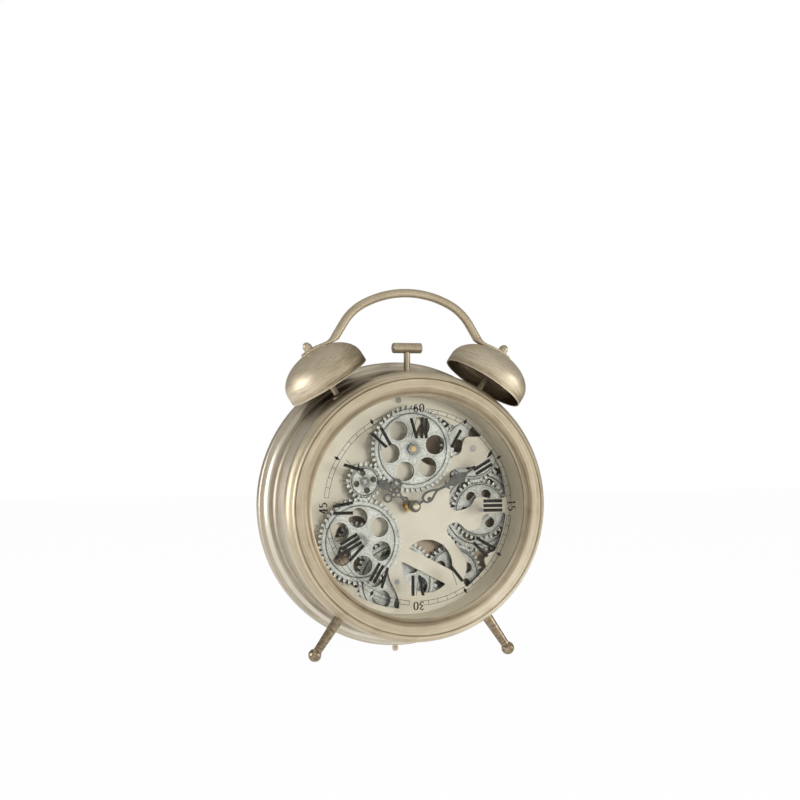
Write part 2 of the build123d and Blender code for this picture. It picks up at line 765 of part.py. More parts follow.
# Lower wheel behind the dial, on the arbor that the drive unit turns, with a smaller wheel behind it
lower_outline = pierced(large_teeth, arbor_bore, 6, wheel_hole, wheel_hole_circle, -12 - lower_phase)
lower = wheel(lower_centre, lower_outline, lower_phase, layer_a_y, layer_a_back_y, wheel_groove_radius)
lower += boss(lower_centre, collar_radius, arbor_bore, dial_back_y + end_play, layer_a_y)
save(lower, "lower_wheel")
lower_pinion_outline = gear(lower_pinion_teeth, wheel_module) - Circle(arbor_bore)
lower_pinion_place = Pos(*lower_centre) * Rot(0, 0, lower_pinion_phase)
lower_pinion = slab(lower_pinion_place * lower_pinion_outline, layer_c_y, layer_c_back_y)
lower_pinion += boss(lower_centre, collar_radius, arbor_bore, layer_a_back_y, layer_c_y)
save(lower_pinion, "lower_pinion")
lower_arbor_end_y = plate_back_y + drive_bore_depth - arbor_front
save(pin(lower_centre, arbor_radius, dial_front_y - arbor_front, lower_arbor_end_y), "lower_arbor")

# Lower idler behind the dial: two like wheels cast on one hub, on a stud of the train plate
middle_outline = gear(medium_teeth, wheel_module)
lower_idler_hub = collar_radius + rear_wheel_thickness
lower_idler_outline = pierced(
    middle_outline, idler_bore, 6, right_hole, right_hole_circle, 25 - lower_idler_phase)
lower_idler = wheel(
    lower_idler_centre, lower_idler_outline, lower_idler_phase,
    layer_b_y, layer_b_back_y, right_groove_radius)
idler_rear_outline = pierced(
    middle_outline, idler_bore, 6, right_hole, right_hole_circle, 25 - idler_rear_phase)
lower_idler += wheel(
    lower_idler_centre, idler_rear_outline, idler_rear_phase,
    layer_c_y, layer_c_back_y, right_groove_radius)
lower_idler += boss(lower_idler_centre, lower_idler_hub, idler_bore, layer_b_back_y, layer_c_y)
save(lower_idler, "lower_idler")

# Right wheel and its smaller front wheel, both pressed on one arbor
right_outline = pierced(large_teeth, arbor_bore, 6, wheel_hole, wheel_hole_circle, 8 - right_phase)
right = wheel(right_centre, right_outline, right_phase, layer_b_y, layer_b_back_y, wheel_groove_radius)
right += boss(right_centre, collar_radius, arbor_bore, layer_a_back_y, layer_b_y)
save(right, "right_wheel")
right_pinion_outline = pierced(middle_outline, arbor_bore, 6, right_hole, right_hole_circle, 0)
right_pinion = wheel(
    right_centre, right_pinion_outline, right_pinion_phase, layer_a_y, layer_a_back_y, right_groove_radius
)
save(right_pinion, "right_pinion")
save(pin(right_centre, arbor_radius, dial_front_y - arbor_front, plate_back_y + arbor_end), "right_arbor")

# Corner wheel at the end of the train, on a stud riveted into the dial
corner_outline = pierced(
    gear(corner_teeth, wheel_module), idler_bore, 4, corner_hole, corner_hole_circle, 80 - corner_phase
)
corner = wheel(corner_centre, corner_outline, corner_phase, layer_a_y, layer_a_back_y, corner_groove_radius)
save(corner, "corner_wheel")

# Steel studs that carry the idler, lower idler and corner wheels
rivet_radius = idler_stud_radius - press_fit
idler_stud = pin(idler_centre, idler_stud_radius, front_wheel_y - idler_stud_proud, dial_front_y)
idler_stud += pin(idler_centre, stud_flange_radius, front_wheel_back_y + end_play, dial_front_y)
idler_stud += pin(idler_centre, rivet_radius, dial_front_y, dial_back_y + rivet_proud)
washer_y = layer_b_y - end_play
lower_idler_stud = pin(lower_idler_centre, idler_stud_radius, washer_y, plate_y)
lower_idler_stud += pin(lower_idler_centre, stud_flange_radius, layer_c_back_y + end_play, plate_y)
lower_idler_stud += pin(lower_idler_centre, rivet_radius, plate_y, plate_back_y + rivet_proud)
lower_idler_stud += pin(lower_idler_centre, stud_flange_radius, washer_y - washer_thickness, washer_y)
corner_end_y = layer_a_back_y + end_play
rivet_front_y = dial_front_y - washer_thickness
corner_stud = pin(corner_centre, idler_stud_radius + rivet_head, rivet_front_y, dial_front_y)
corner_stud += pin(corner_centre, rivet_radius, dial_front_y, dial_back_y)
corner_stud += pin(corner_centre, stud_flange_radius, dial_back_y, layer_a_y - end_play)
corner_stud += pin(corner_centre, idler_stud_radius, layer_a_y - end_play, corner_end_y)
corner_stud += pin(corner_centre, stud_flange_radius, corner_end_y, corner_end_y + washer_thickness)
save(group([idler_stud, lower_idler_stud, corner_stud]), "wheel_studs")

# Drive unit screwed behind the train plate, with its cell in an open bay
drive_back_y = plate_back_y + drive_depth
drive_low = drive_centre[1] - drive_height / 2
drive_bay_z = drive_low + unit_wall + bay_height / 2
drive_bay_front_y = drive_back_y - bay_height
drive_outline = RectangleRounded(drive_width, drive_height, drive_corner)
drive = slab(Pos(*drive_centre) * drive_outline, plate_back_y, drive_back_y)
drive -= pin(lower_centre, arbor_radius + running_fit, plate_back_y, plate_back_y + drive_bore_depth)
bay = Pos(drive_centre[0], drive_bay_z) * Rectangle(bay_width, bay_height)
drive -= slab(bay, drive_bay_front_y, drive_back_y)
switch_x = drive_centre[0] + drive_width / 4
switch_z = drive_centre[1] + drive_height / 4
switch_y = drive_back_y - switch_sunk
switch_slot = Rectangle(switch_length + switch_travel + 2 * sheet_fit, switch_width + 2 * sheet_fit)
drive -= slab(Pos(switch_x + switch_travel / 2, switch_z) * switch_slot, switch_y - sheet_fit, drive_back_y)
save(drive, "drive_unit")
switch_block = Pos(switch_x, switch_z) * Rectangle(switch_length, switch_width)
save(slab(switch_block, switch_y, drive_back_y + switch_proud), "drive_switch")


def cell(x_middle, y, z):
    """Round dry cell lying along X with its contact tip on the right."""
    full_length = cell_length + cell_tip_length
    body = rod(cell_radius, 0, cell_length) + rod(cell_tip_radius, cell_length, full_length)
    x_left = x_middle - full_length / 2
    return Pos(x_left, y, axis_height + z) * Rot(0, 90, 0) * body


save(cell(drive_centre[0], drive_bay_front_y + cell_radius + cell_play, drive_bay_z), "drive_cell")

# Quartz movement behind the dial: moulded case with a gear room above and a cell bay below
movement_outline = RectangleRounded(movement_width, movement_height, movement_corner)
movement = slab(Pos(0, movement_middle) * movement_outline, dial_back_y, movement_back_y)
bay_z = movement_low + unit_wall + bay_height / 2
cell_y = movement_back_y - cell_radius - cell_play
movement_bay = Pos(0, bay_z) * Rectangle(bay_width, bay_height)
movement -= slab(movement_bay, movement_back_y - bay_height, movement_back_y)
room_width = movement_width - 2 * unit_wall
room_height = room_high - room_low
room_place = Pos(0, (room_low + room_high) / 2)
movement -= slab(room_place * Rectangle(room_width, room_height), movement_inner_y, movement_back_y)
movement -= slab(Circle(bush_radius), dial_back_y, movement_inner_y)
pivot_bore = set_arbor_radius + running_fit
movement -= pin(motion_centre, pivot_bore, dial_back_y + pivot_floor, movement_inner_y)
save(movement, "movement_case")
lid_y = movement_back_y - unit_wall
lid_outline = room_place * Rectangle(room_width - 2 * sheet_fit, room_height - 2 * sheet_fit)
lid_outline -= Pos(*motion_centre) * Circle(pivot_bore)
lid_outline -= Circle(minute_radius + running_fit)
save(slab(lid_outline, lid_y, movement_back_y), "movement_lid")
save(cell(0, cell_y, bay_z), "movement_cell")

# Threaded bush that carries the movement on the dial, and its hexagon nut
bush_bore = hour_pipe_radius + running_fit
bush_front_y = dial_front_y - bush_reach
save(slab(ring(bush_radius - press_fit, bush_bore), bush_front_y, movement_inner_y), "movement_bush")
nut_corner = bush_nut_flats / 2 / cos(pi / 6)
nut_outline = RegularPolygon(nut_corner, 6) - Circle(bush_radius)
save(slab(nut_outline, dial_front_y - bush_nut_thickness, dial_front_y), "bush_nut")

# Motion work: cannon pinion, minute wheel with pinion and hour wheel, one turn in twelve
motion_values = (motion_pressure_angle, motion_addendum, motion_dedendum, motion_play)
hour_layer_y = movement_inner_y + motion_gap
hour_layer_back_y = hour_layer_y + motion_layer
cannon_layer_y = hour_layer_back_y + motion_step
cannon_layer_back_y = cannon_layer_y + motion_layer
minute_wheel_phase = mesh_phase(0, cannon_teeth, 90, minute_wheel_teeth)
hour_wheel_phase = mesh_phase(0, minute_pinion_teeth, 270, hour_wheel_teeth)
hour_bore = minute_radius + running_fit
hour_teeth = Rot(0, 0, hour_wheel_phase) * gear(hour_wheel_teeth, hour_module, *motion_values)
hour_wheel = slab(hour_teeth - Circle(hour_bore), hour_layer_y, hour_layer_back_y)
hour_pipe = ring(hour_pipe_radius, hour_bore)
hour_wheel += slab(hour_pipe, hour_hand_y - hour_pipe_proud, hour_layer_back_y + motion_hub)
save(hour_wheel, "hour_wheel")
minute_arbor = slab(Circle(minute_radius), minute_hand_y - arbor_proud, movement_back_y)
minute_arbor += slab(gear(cannon_teeth, motion_module, *motion_values), cannon_layer_y, cannon_layer_back_y)
save(minute_arbor, "minute_arbor")
minute_teeth = Rot(0, 0, minute_wheel_phase) * gear(minute_wheel_teeth, motion_module, *motion_values)
minute_wheel = slab(Pos(*motion_centre) * minute_teeth, cannon_layer_y, cannon_layer_back_y)
minute_pinion = Pos(*motion_centre) * gear(minute_pinion_teeth, hour_module, *motion_values)
minute_wheel += slab(minute_pinion, hour_layer_y - pinion_lead, cannon_layer_y)
knob_y = movement_back_y + knob_gap
set_arbor_y = dial_back_y + pivot_floor + pivot_play
minute_wheel += pin(motion_centre, set_arbor_radius, set_arbor_y, knob_y + knob_length / 2)
save(minute_wheel, "minute_wheel")

# Setting knob pressed on the rear end of the minute wheel's arbor
knob = pin(motion_centre, knob_radius, knob_y, knob_y + knob_length)
knob -= pin(motion_centre, set_arbor_radius + press_fit, knob_y, knob_y + knob_length / 2 + press_fit)
save(knob, "setting_knob")

# Hour hand: pierced plate with two side rings and a spade tip, drawn pointing at twelve
hour_outline = Circle(5.6)
hour_rings = ((11, 0, 3.4), (19.7, 0, 3.2), (24, 2.9, 3.1), (24, -2.9, 3.1), (29.4, 0, 3.2))
hour_eyes = ((10.6, 0, 1.4), (19.7, 0, 1.4), (24, 2.8, 1.4), (24, -2.8, 1.4), (29.4, 0, 1.4))
for along, across, outer in hour_rings:
    hour_outline += Pos(across, along) * Circle(outer)
for side in (-1, 1):
    hour_outline += Pos(side * 8.8, 27.3) * Circle(5)
    hour_outline += make_face(Polyline(
        (side * 1, 18), (side * 6.2, 24.5), (side * 6.2, 26.5), (side * 1, 22), close=True))
spade_right = Spline((1.2, 30), (4.6, 36), (0, 45.5))
spade_left = Spline((0, 45.5), (-4.6, 36), (-1.2, 30))
hour_outline += make_face([spade_right, spade_left, Line((-1.2, 30), (1.2, 30))])
hour_outline += Pos(0, 15) * Rectangle(3.6, 22)
for along, across, inner in hour_eyes:
    hour_outline -= Pos(across, along) * Circle(inner)
for side in (-1, 1):
    hour_outline -= Pos(side * 8.8, 27.3) * Circle(2.8)
hour_fit = hour_pipe_radius + press_fit
hour_outline = Rot(0, 0, -hour_angle) * (hour_outline - Circle(hour_fit))
hour_hand = slab(hour_outline, hour_hand_y, hour_hand_y + hand_thickness)
hour_collar_y = hour_hand_y + hand_thickness
hour_collar = ring(hour_pipe_radius + hand_collar, hour_fit)
hour_hand += slab(hour_collar, hour_collar_y, hour_collar_y + hour_collar_length)
save(hour_hand, "hour_hand")

# Minute hand: longer plate with an open scroll round an eye, cross thorns and a leaf
minute_outline = Circle(6.2)
minute_outline += Pos(0, 8) * Rectangle(2.6, 8)
scroll_left = Spline((0, 10.6), (-4.3, 12.8), (-5.4, 16.5), (-4.9, 21), (-3.3, 26), (-1.4, 30.5))
scroll_right = Spline(
    (0, 10.6), (2.8, 12.4), (3.9, 15.6), (3.5, 18.9), (1.7, 22), (-0.3, 25.5), (-1.4, 30.5))
minute_outline += trace(scroll_left, scroll_width)
minute_outline += trace(scroll_right, scroll_width)
minute_outline += Pos(1.6, 16.7) * Circle(2.1)
minute_outline += make_face(Polyline((-2.6, 29.5), (-1.7, 43), (1.7, 43), (-0.2, 29.5), close=True))
for side in (-1, 1):
    minute_outline += make_face(Polyline((0, 37), (side * 5.4, 40.5), (0, 42), close=True))
leaf_right = Spline((1.2, 41), (5.0, 51), (1.1, 64))
leaf_left = Spline((-1.1, 64), (-5.0, 51), (-1.2, 41))
leaf_top = Line((1.1, 64), (-1.1, 64))
leaf_foot = Line((-1.2, 41), (1.2, 41))
minute_outline += make_face([leaf_right, leaf_top, leaf_left, leaf_foot])
minute_outline += make_face(Polyline((-1.2, 63), (-0.5, 76.7), (0.5, 76.7), (1.2, 63), close=True))
minute_fit = minute_radius + press_fit
minute_outline = Rot(0, 0, -minute_angle) * (minute_outline - Circle(minute_fit))
minute_hand = slab(minute_outline, minute_hand_y, minute_hand_y + hand_thickness)
minute_collar_y = minute_hand_y + hand_thickness
minute_collar = ring(minute_radius + hand_collar, minute_fit)
minute_hand += slab(minute_collar, minute_collar_y, minute_collar_y + minute_collar_length)
save(minute_hand, "minute_hand")

# Domed brass nut that holds the hands on the arbor
cap_section_line = Polyline((0, minute_hand_y - cap_length), (0, minute_hand_y), (cap_radius, minute_hand_y))
cap_side = Line((cap_radius, minute_hand_y), (cap_radius, minute_hand_y - cap_length + cap_radius))
cap_dome = ThreePointArc(
    (cap_radius, minute_hand_y - cap_length + cap_radius),
    (cap_radius / sqrt(2), minute_hand_y - cap_length + cap_radius - cap_radius / sqrt(2)),
    (0, minute_hand_y - cap_length),
)
cap = turned(cap_section_line, cap_side, cap_dome)
cap -= slab(Circle(minute_fit), minute_hand_y - arbor_proud - press_fit, minute_hand_y)
save(cap, "hand_nut")

# Rear rim: stepped sheet ring over the rear of the drum with a ledge for the cover
rim_seat = cover_radius + cover_play
flange_y = rear_y - rim_flange_width
shoulder_radius = rim_radius - rim_shoulder_drop
shoulder_y = flange_y - rim_edge
bead_y = shoulder_y - rim_bead_length
bead_radius = shoulder_radius - rim_bead_drop
rim_front_y = rear_y - rim_length
rim_outer = Polyline(
    (ledge_inner_radius, cover_front_y),
    (rim_seat, cover_front_y),
    (rim_seat, rear_y),
    (rim_radius - rim_edge, rear_y),
    (rim_radius, rear_y - rim_edge),
    (rim_radius, flange_y),
    (rim_radius - rim_edge, shoulder_y),
    (shoulder_radius, shoulder_y),
)
rim_bead = ThreePointArc(
    (shoulder_radius, shoulder_y),
    (shoulder_radius - rim_bead_fall, shoulder_y - rim_bead_length / 2),
    (bead_radius, bead_y),
)
rim_cove = ThreePointArc(
    (bead_radius, bead_y),
    ((bead_radius + slip_radius) / 2 - rim_cove_sink, bead_y - rim_cove_run),
    (slip_radius + rim_wall, rim_front_y),
)
rim_inner = Polyline(
    (slip_radius + rim_wall, rim_front_y),
    (slip_radius, rim_front_y),
    (slip_radius, rim_front_y + rim_slip_length),
    (bead_radius - rim_wall, bead_y + rim_wall),
    (shoulder_radius - 2 * rim_wall, shoulder_y - rim_wall),
    (shoulder_radius - rim_wall, shoulder_y + rim_wall),
    (rim_radius - rim_wall, shoulder_y + rim_wall),
    (rim_radius - rim_wall, rear_y - rim_wall),
    (rim_seat + rim_wall, rear_y - rim_wall),
    (rim_seat + rim_wall, cover_front_y - rim_wall),
    (ledge_inner_radius, cover_front_y - rim_wall),
    (ledge_inner_radius, cover_front_y),
)
rim = turned(rim_outer, rim_bead, rim_cove, rim_inner)
for centre in cover_screws_at:
    rim -= pin(centre, pillar_screw_radius, cover_front_y - 2 * rim_wall, cover_front_y)
peg_y = rear_y - peg_inset
peg_hole = rod(peg_stud_radius + bolt_fit, rim_radius - 2 * rim_wall, rim_radius + rim_wall)
rim -= radial(180, peg_y) * peg_hole
save(rim, "rear_rim")

# Rear cover in two halves, with one opening onto the movement and the drive unit, and its four screws
cover_outline = Circle(cover_radius)
access_reach = max(movement_width / 2, drive_width / 2 - drive_centre[0]) + access_side
access_top = movement_middle + movement_height / 2 + access_above
access_low = drive_centre[1] - drive_height / 2 - access_below
access = RectangleRounded(2 * access_reach, access_top - access_low, access_corner)
cover_outline -= Pos(0, (access_top + access_low) / 2) * access
for centre in cover_screws_at:
    cover_outline -= Pos(*centre) * Circle(pillar_screw_radius + bolt_fit)
cover_back_y = cover_front_y + cover_thickness
cover_half = Rectangle(2 * cover_radius, 2 * cover_radius, align=(Align.MIN, Align.CENTER))
for side, name in ((-1, "rear_cover_left"), (1, "rear_cover_right")):
    half = Pos(side * cover_seam / 2, 0) * Rot(0, 0, 90 - side * 90) * cover_half
    save(slab(cover_outline & half, cover_front_y, cover_back_y), name)
cover_screw_length = cover_thickness + rim_wall + screw_tip
cover_screws = []
for centre in cover_screws_at:
    cover_screws.append(screw(
        centre, screw_head_radius, screw_head, screw_shank, cover_back_y, cover_screw_length, 1))
save(group(cover_screws), "cover_screws")

# Front legs: tapered turned rods with a ball end, bolted through the drum
ball_distance = (axis_height - ball_radius + ball_flat) / cos(radians(leg_angle))
table = Pos(0, 0, -case_depth) * Box(4 * drum_radius, 4 * case_depth, 2 * case_depth)
nut_seat = drum_radius - drum_wall - sheet_fit
stud_low = nut_seat - nut_length - stud_end
leg_straight_end = drum_radius + leg_straight


def foot_leg(side):
    """Tapered rod from the drum to a ball whose underside is flat on the table."""
    taper_section = Polyline(
        (0, drum_radius / 2), (leg_top_radius, drum_radius / 2), (leg_top_radius, leg_straight_end),
        (leg_foot_radius, ball_distance), (0, ball_distance), close=True)
    place = radial(180 - side * leg_angle, leg_y)
    leg = place * lathe(taper_section) - drum_core(drum_radius + press_fit)
    leg += place * Pos(0, 0, ball_distance) * Sphere(ball_radius)
    leg += place * rod(leg_stud_radius, stud_low, leg_straight_end)
    return leg - table


save(foot_leg(-1), "leg_left")
save(foot_leg(1), "leg_right")

# Rear foot: short peg with a ball tip under the rear rim
peg_ball_distance = axis_height - peg_ball_radius + ball_flat
peg_stud_low = rim_radius - rim_wall - nut_length - stud_end
peg = radial(180, peg_y) * rod(peg_radius, rim_radius + press_fit, peg_ball_distance)
peg += radial(180, peg_y) * Pos(0, 0, peg_ball_distance) * Sphere(peg_ball_radius)
peg += radial(180, peg_y) * rod(peg_stud_radius, peg_stud_low, rim_radius + stud_end)
peg -= table
save(peg, "rear_foot")


def hex_nut(corner, top, bore):
    """Hexagon nut below a seat height on a stud."""
    outline = RegularPolygon(corner, 6) - Circle(bore)
    return Pos(0, 0, top - nut_length) * extrude(outline, amount=nut_length)


leg_nut_top = sqrt(nut_seat ** 2 - nut_radius ** 2)
leg_nut = hex_nut(nut_radius, leg_nut_top, leg_stud_radius + press_fit)
peg_nut_top = sqrt((rim_radius - rim_wall - sheet_fit) ** 2 - peg_nut_radius ** 2)
foot_nuts = [radial(180 - side * leg_angle, leg_y) * leg_nut for side in (-1, 1)]
foot_nuts.append(radial(180, peg_y) * hex_nut(peg_nut_radius, peg_nut_top, peg_stud_radius + press_fit))
save(group(foot_nuts), "foot_nuts")

# Bells: spun domes on posts standing on the drum
bell_rim = rim_radius + bell_clearance
bell_top = bell_rim + bell_height
bell_inner_top = bell_top - bell_wall
dome_rise = bell_height - bell_skirt
dome_low = bell_rim + bell_skirt


def dome(radius, rise):
    """Elliptic quarter from the skirt up to the middle of the bell."""
    return EllipticalCenterArc((0, dome_low), radius, rise, start_angle=0, arc_size=90)


bell_outer_arc = dome(bell_radius, dome_rise)
bell_inner_arc = dome(bell_radius - bell_wall, dome_rise - bell_wall)
bell_section = [
    Line((bell_radius, bell_rim), (bell_radius, dome_low)),
    bell_outer_arc,
    Line((0, bell_top), (0, bell_inner_top)),
    bell_inner_arc,
    Line((bell_radius - bell_wall, dome_low), (bell_radius - bell_wall, bell_rim)),
    Line((bell_radius - bell_wall, bell_rim), (bell_radius, bell_rim)),
]
bell = lathe(*bell_section) - rod(post_stud_radius + bolt_fit, bell_rim, bell_top + bell_wall)
shoulder_share = post_shoulder_radius / (bell_radius - bell_wall)
shoulder_drop = (dome_rise - bell_wall) * (1 - sqrt(1 - shoulder_share ** 2))
shoulder_top = bell_inner_top - shoulder_drop - press_fit
tab_top = bell_top + handle_tab_thickness
stud_top = tab_top + cap_nut_length


def bell_post(angle):
    """Post with a collar on the drum, a shoulder under the bell and a threaded end at each side."""
    collar_top = drum_radius + post_collar_length
    collar_section = Polyline(
        (0, drum_radius / 2), (post_collar_radius, drum_radius / 2),
        (post_collar_radius, collar_top - post_collar_edge),
        (post_radius + post_collar_lip, collar_top), (0, collar_top), close=True)
    post = lathe(collar_section)
    post = radial(angle, bell_y) * post - drum_core(drum_radius + press_fit)
    shaft = rod(post_radius, drum_radius + post_collar_lip, shoulder_top)
    shaft += rod(post_shoulder_radius, shoulder_top - post_shoulder_length, shoulder_top)
    shaft += rod(post_stud_radius, stud_low, stud_top)
    return post + radial(angle, bell_y) * shaft


for side, name in ((-1, "left"), (1, "right")):
    save(radial(side * bell_angle, bell_y) * bell, "bell_" + name)
    save(bell_post(side * bell_angle), "bell_post_" + name)
post_nut = hex_nut(nut_radius, leg_nut_top, post_stud_radius + press_fit)
save(group(radial(side * bell_angle, bell_y) * post_nut for side in (-1, 1)), "bell_post_nuts")

# Handle: bent round bar whose flattened ends follow the tops of the bells
out_x = sin(radians(bell_angle))
out_z = cos(radians(bell_angle))


def dome_height(reach):
    """Height of the bell's outside at a distance from the post."""
    return dome_low + dome_rise * sqrt(1 - (reach / bell_radius) ** 2)


def dome_slope(reach):
    """Fall of the bell's outside, in degrees, at a distance from the post."""
    return degrees(atan2(dome_rise * reach, bell_radius ** 2 * sqrt(1 - (reach / bell_radius) ** 2)))


def tab_point(reach, height):
    """Point in the dial plane from a distance towards the arch and a height along the right post."""
    return (height * out_x - reach * out_z, height * out_z + reach * out_x)


def tab_section(reach, height, slope, width, thickness, flat):
    """Cross-section of the right foot, square to a slope above the tab, with a flat on each edge."""
    forward = (-cos(radians(slope)), 0, sin(radians(slope)))
    plane = Plane(origin=(-reach, 0, height), x_dir=(0, 1, 0), z_dir=forward)
    return plane * RectangleRounded(width, thickness, thickness / 2 - flat)


def dome_solid(grow):
    """Solid dome, larger than the bell's outside by a given amount."""
    wide = bell_radius + grow
    high = dome_rise + grow
    arc = EllipticalCenterArc((0, dome_low), wide, high, start_angle=0, arc_size=90)
    axis_line = Line((0, dome_low + high), (0, dome_low))
    return lathe(arc, axis_line, Line((0, dome_low), (wide, dome_low)))


foot_height = dome_height(handle_foot_reach) + handle_foot_lift
foot_corner = tab_point(handle_foot_reach, foot_height)
shoulder_corner = step(foot_corner, handle_leg_length, 180 - handle_leg_slope)
top_corner = (0, shoulder_corner[1] + shoulder_corner[0] * tan(radians(handle_top_slope)))
top_run = shoulder_corner[0] / cos(radians(handle_top_slope))
shoulder_run = handle_shoulder_bend * tan(radians((handle_leg_slope - handle_top_slope) / 2))
handle_top_bend = (top_run - shoulder_run - handle_straight) / tan(radians(handle_top_slope))
bar_start = step(foot_corner, handle_foot_run, 180 - handle_leg_slope)
right_side = [bar_start, shoulder_corner]
left_side = [(-x, z) for x, z in reversed(right_side)]
bends = [handle_shoulder_bend, handle_top_bend, handle_shoulder_bend]
handle_path = dial_plane(bell_y) * FilletPolyline(*right_side, top_corner, *left_side, radius=bends)
handle = sweep(Plane(handle_path @ 0, z_dir=handle_path % 0) * Circle(handle_radius), path=handle_path)
leg_rise = handle_leg_slope - bell_angle
bar_reach = handle_foot_reach + handle_foot_run * cos(radians(leg_rise))
bar_height = foot_height + handle_foot_run * sin(radians(leg_rise))
tab_section_height = dome_height(handle_tab_inner) + handle_tab_thickness / 2
waist_height = dome_height(handle_waist_reach) + handle_waist_thickness / 2 + press_fit
waist_slope = (leg_rise - dome_slope(handle_waist_reach)) / 2
foot_sections = [
    tab_section(handle_tab_inner, tab_section_height, -dome_slope(handle_tab_inner),
                handle_tab_width, handle_tab_thickness, handle_edge_flat),
    tab_section(handle_waist_reach, waist_height, waist_slope,
                handle_waist_width, handle_waist_thickness, handle_edge_flat),
    tab_section(bar_reach, bar_height, leg_rise, 2 * handle_radius, 2 * handle_radius, handle_seam),
]
tab_middle = (handle_tab_inner - handle_tab_outer) / 2
tab_length = handle_tab_inner + handle_tab_outer
tab = Pos(-tab_middle, 0, bell_top) * Box(tab_length, handle_tab_width, bell_height)
tab &= dome_solid(handle_tab_thickness)
tab -= dome_solid(press_fit)
foot = tab + (loft(foot_sections) - dome_solid(press_fit))
foot -= rod(post_stud_radius + bolt_fit, bell_top - bell_height, tab_top + bell_wall)
right_foot = radial(bell_angle, bell_y) * foot
handle += right_foot
handle += mirror(right_foot, about=Plane.YZ)
save(handle, "handle")

# Domed nuts that clamp the handle and the bells on the posts
cap_nut_section = [
    Line((0, 0), (cap_nut_radius, 0)),
    Line((cap_nut_radius, 0), (cap_nut_radius, cap_nut_length)),
    Line((cap_nut_radius, cap_nut_length), (cap_nut_dome, cap_nut_length)),
    ThreePointArc(
        (cap_nut_dome, cap_nut_length),
        (cap_nut_dome / sqrt(2), cap_nut_length + cap_nut_dome / sqrt(2)),
        (0, cap_nut_length + cap_nut_dome),
    ),
    Line((0, cap_nut_length + cap_nut_dome), (0, 0)),
]
cap_nut = lathe(*cap_nut_section) - rod(post_stud_radius + press_fit, 0, cap_nut_length + press_fit)
cap_nuts = [radial(side * bell_angle, bell_y) * Pos(0, 0, tab_top) * cap_nut for side in (-1, 1)]
save(group(cap_nuts), "cap_nuts")

# Hammer: bracket and pin inside the drum top, arm through the slot, cross head between the bells
pivot_level = drum_radius - pivot_depth
bracket_low = drum_radius - bracket_depth
pivot_z = axis_height + pivot_level
head_z = axis_height + drum_radius + hammer_reach
right_ear = [
    (hub_radius, pivot_level - hub_radius),
    (bracket_half, bracket_low),
    (bracket_half, drum_radius),
    (bracket_half - bracket_bridge, drum_radius),
    (hub_radius, pivot_level + ear_shoulder),
]
left_ear = [(-x, z) for x, z in reversed(right_ear)]
ear_outline = make_face(Polyline(*right_ear, *left_ear, close=True))
ear_outline -= Pos(0, pivot_level) * Circle(pivot_radius)
bracket = slab(ear_outline, bell_y - ear_outer, bell_y - ear_inner)
bracket += slab(ear_outline, bell_y + ear_inner, bell_y + ear_outer)
bridge_x = bracket_half - bracket_bridge / 2
bridge_z = drum_radius - bracket_depth / 2
for side in (-1, 1):
    bridge = Pos(side * bridge_x, bridge_z) * Rectangle(bracket_bridge, bracket_depth)
    bracket += slab(bridge, bell_y - ear_outer, bell_y + ear_outer)
bracket &= drum_core(drum_radius - drum_wall - sheet_fit)
save(bracket, "hammer_bracket")
pivot_at = (0, pivot_level)
pin_half = ear_outer + pin_proud
save(pin(pivot_at, pivot_radius - press_fit, bell_y - pin_half, bell_y + pin_half), "hammer_pin")

# Arm: flat hub and web between the ears, then a round rod with a spigot for the head
rod_start = pivot_z + 2 * hub_radius - rod_overlap
head_low = head_z - hammer_head_radius
spigot_top = head_z + hammer_head_radius - spigot_end
arm_hub = pin(pivot_at, hub_radius - hub_edge, bell_y - hub_half, bell_y + hub_half)
arm_web = Pos(0, pivot_level + hub_radius) * Rectangle(2 * hammer_rod_radius, 2 * hub_radius)
arm = arm_hub + slab(arm_web, bell_y - hub_half, bell_y + hub_half)
arm += Pos(0, bell_y, 0) * rod(hammer_rod_radius, rod_start, head_z)
arm -= pin(pivot_at, pivot_radius + running_fit, bell_y - hub_thickness, bell_y + hub_thickness)
head_place = Pos(0, bell_y, head_z) * Rot(0, 90, 0)
arm -= head_place * Cylinder(hammer_head_radius + press_fit, hammer_head_length)
arm += Pos(0, bell_y, 0) * rod(hammer_spigot_radius, head_low - rod_overlap, spigot_top)
save(arm, "hammer_arm")
head = head_place * Cylinder(hammer_head_radius, hammer_head_length)
head = chamfer(head.edges().filter_by(GeomType.CIRCLE), head_edge)
head -= Pos(0, bell_y, 0) * rod(hammer_spigot_radius + press_fit, pivot_z, spigot_top + press_fit)
save(head, "hammer_head")
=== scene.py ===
from math import pi, radians
import bpy
import numpy as np
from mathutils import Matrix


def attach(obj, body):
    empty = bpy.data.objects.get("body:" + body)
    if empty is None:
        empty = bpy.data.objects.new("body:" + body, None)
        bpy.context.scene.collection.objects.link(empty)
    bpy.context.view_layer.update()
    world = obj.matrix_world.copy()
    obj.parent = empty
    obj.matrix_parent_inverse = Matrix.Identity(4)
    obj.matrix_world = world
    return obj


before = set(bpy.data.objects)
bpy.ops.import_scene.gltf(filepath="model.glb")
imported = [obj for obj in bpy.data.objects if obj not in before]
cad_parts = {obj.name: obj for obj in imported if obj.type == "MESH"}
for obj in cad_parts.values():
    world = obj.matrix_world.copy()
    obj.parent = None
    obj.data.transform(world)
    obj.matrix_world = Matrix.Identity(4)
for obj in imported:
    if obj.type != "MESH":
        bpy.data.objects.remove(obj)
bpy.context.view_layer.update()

# Camera: a long lens a little above the clock's middle and to its left, so that the left side of the drum
# and the inside of the right bell show.
CAMERA_PLACE = (-0.5584, -1.7833, 0.2384)
CAMERA_TILT = radians(90.665)
CAMERA_TURN = radians(-17.17)
FOCAL_LENGTH = 82.46
SENSOR_WIDTH = 36
scene = bpy.context.scene
lens = bpy.data.cameras.new("camera")
lens.lens = FOCAL_LENGTH
lens.sensor_width = SENSOR_WIDTH
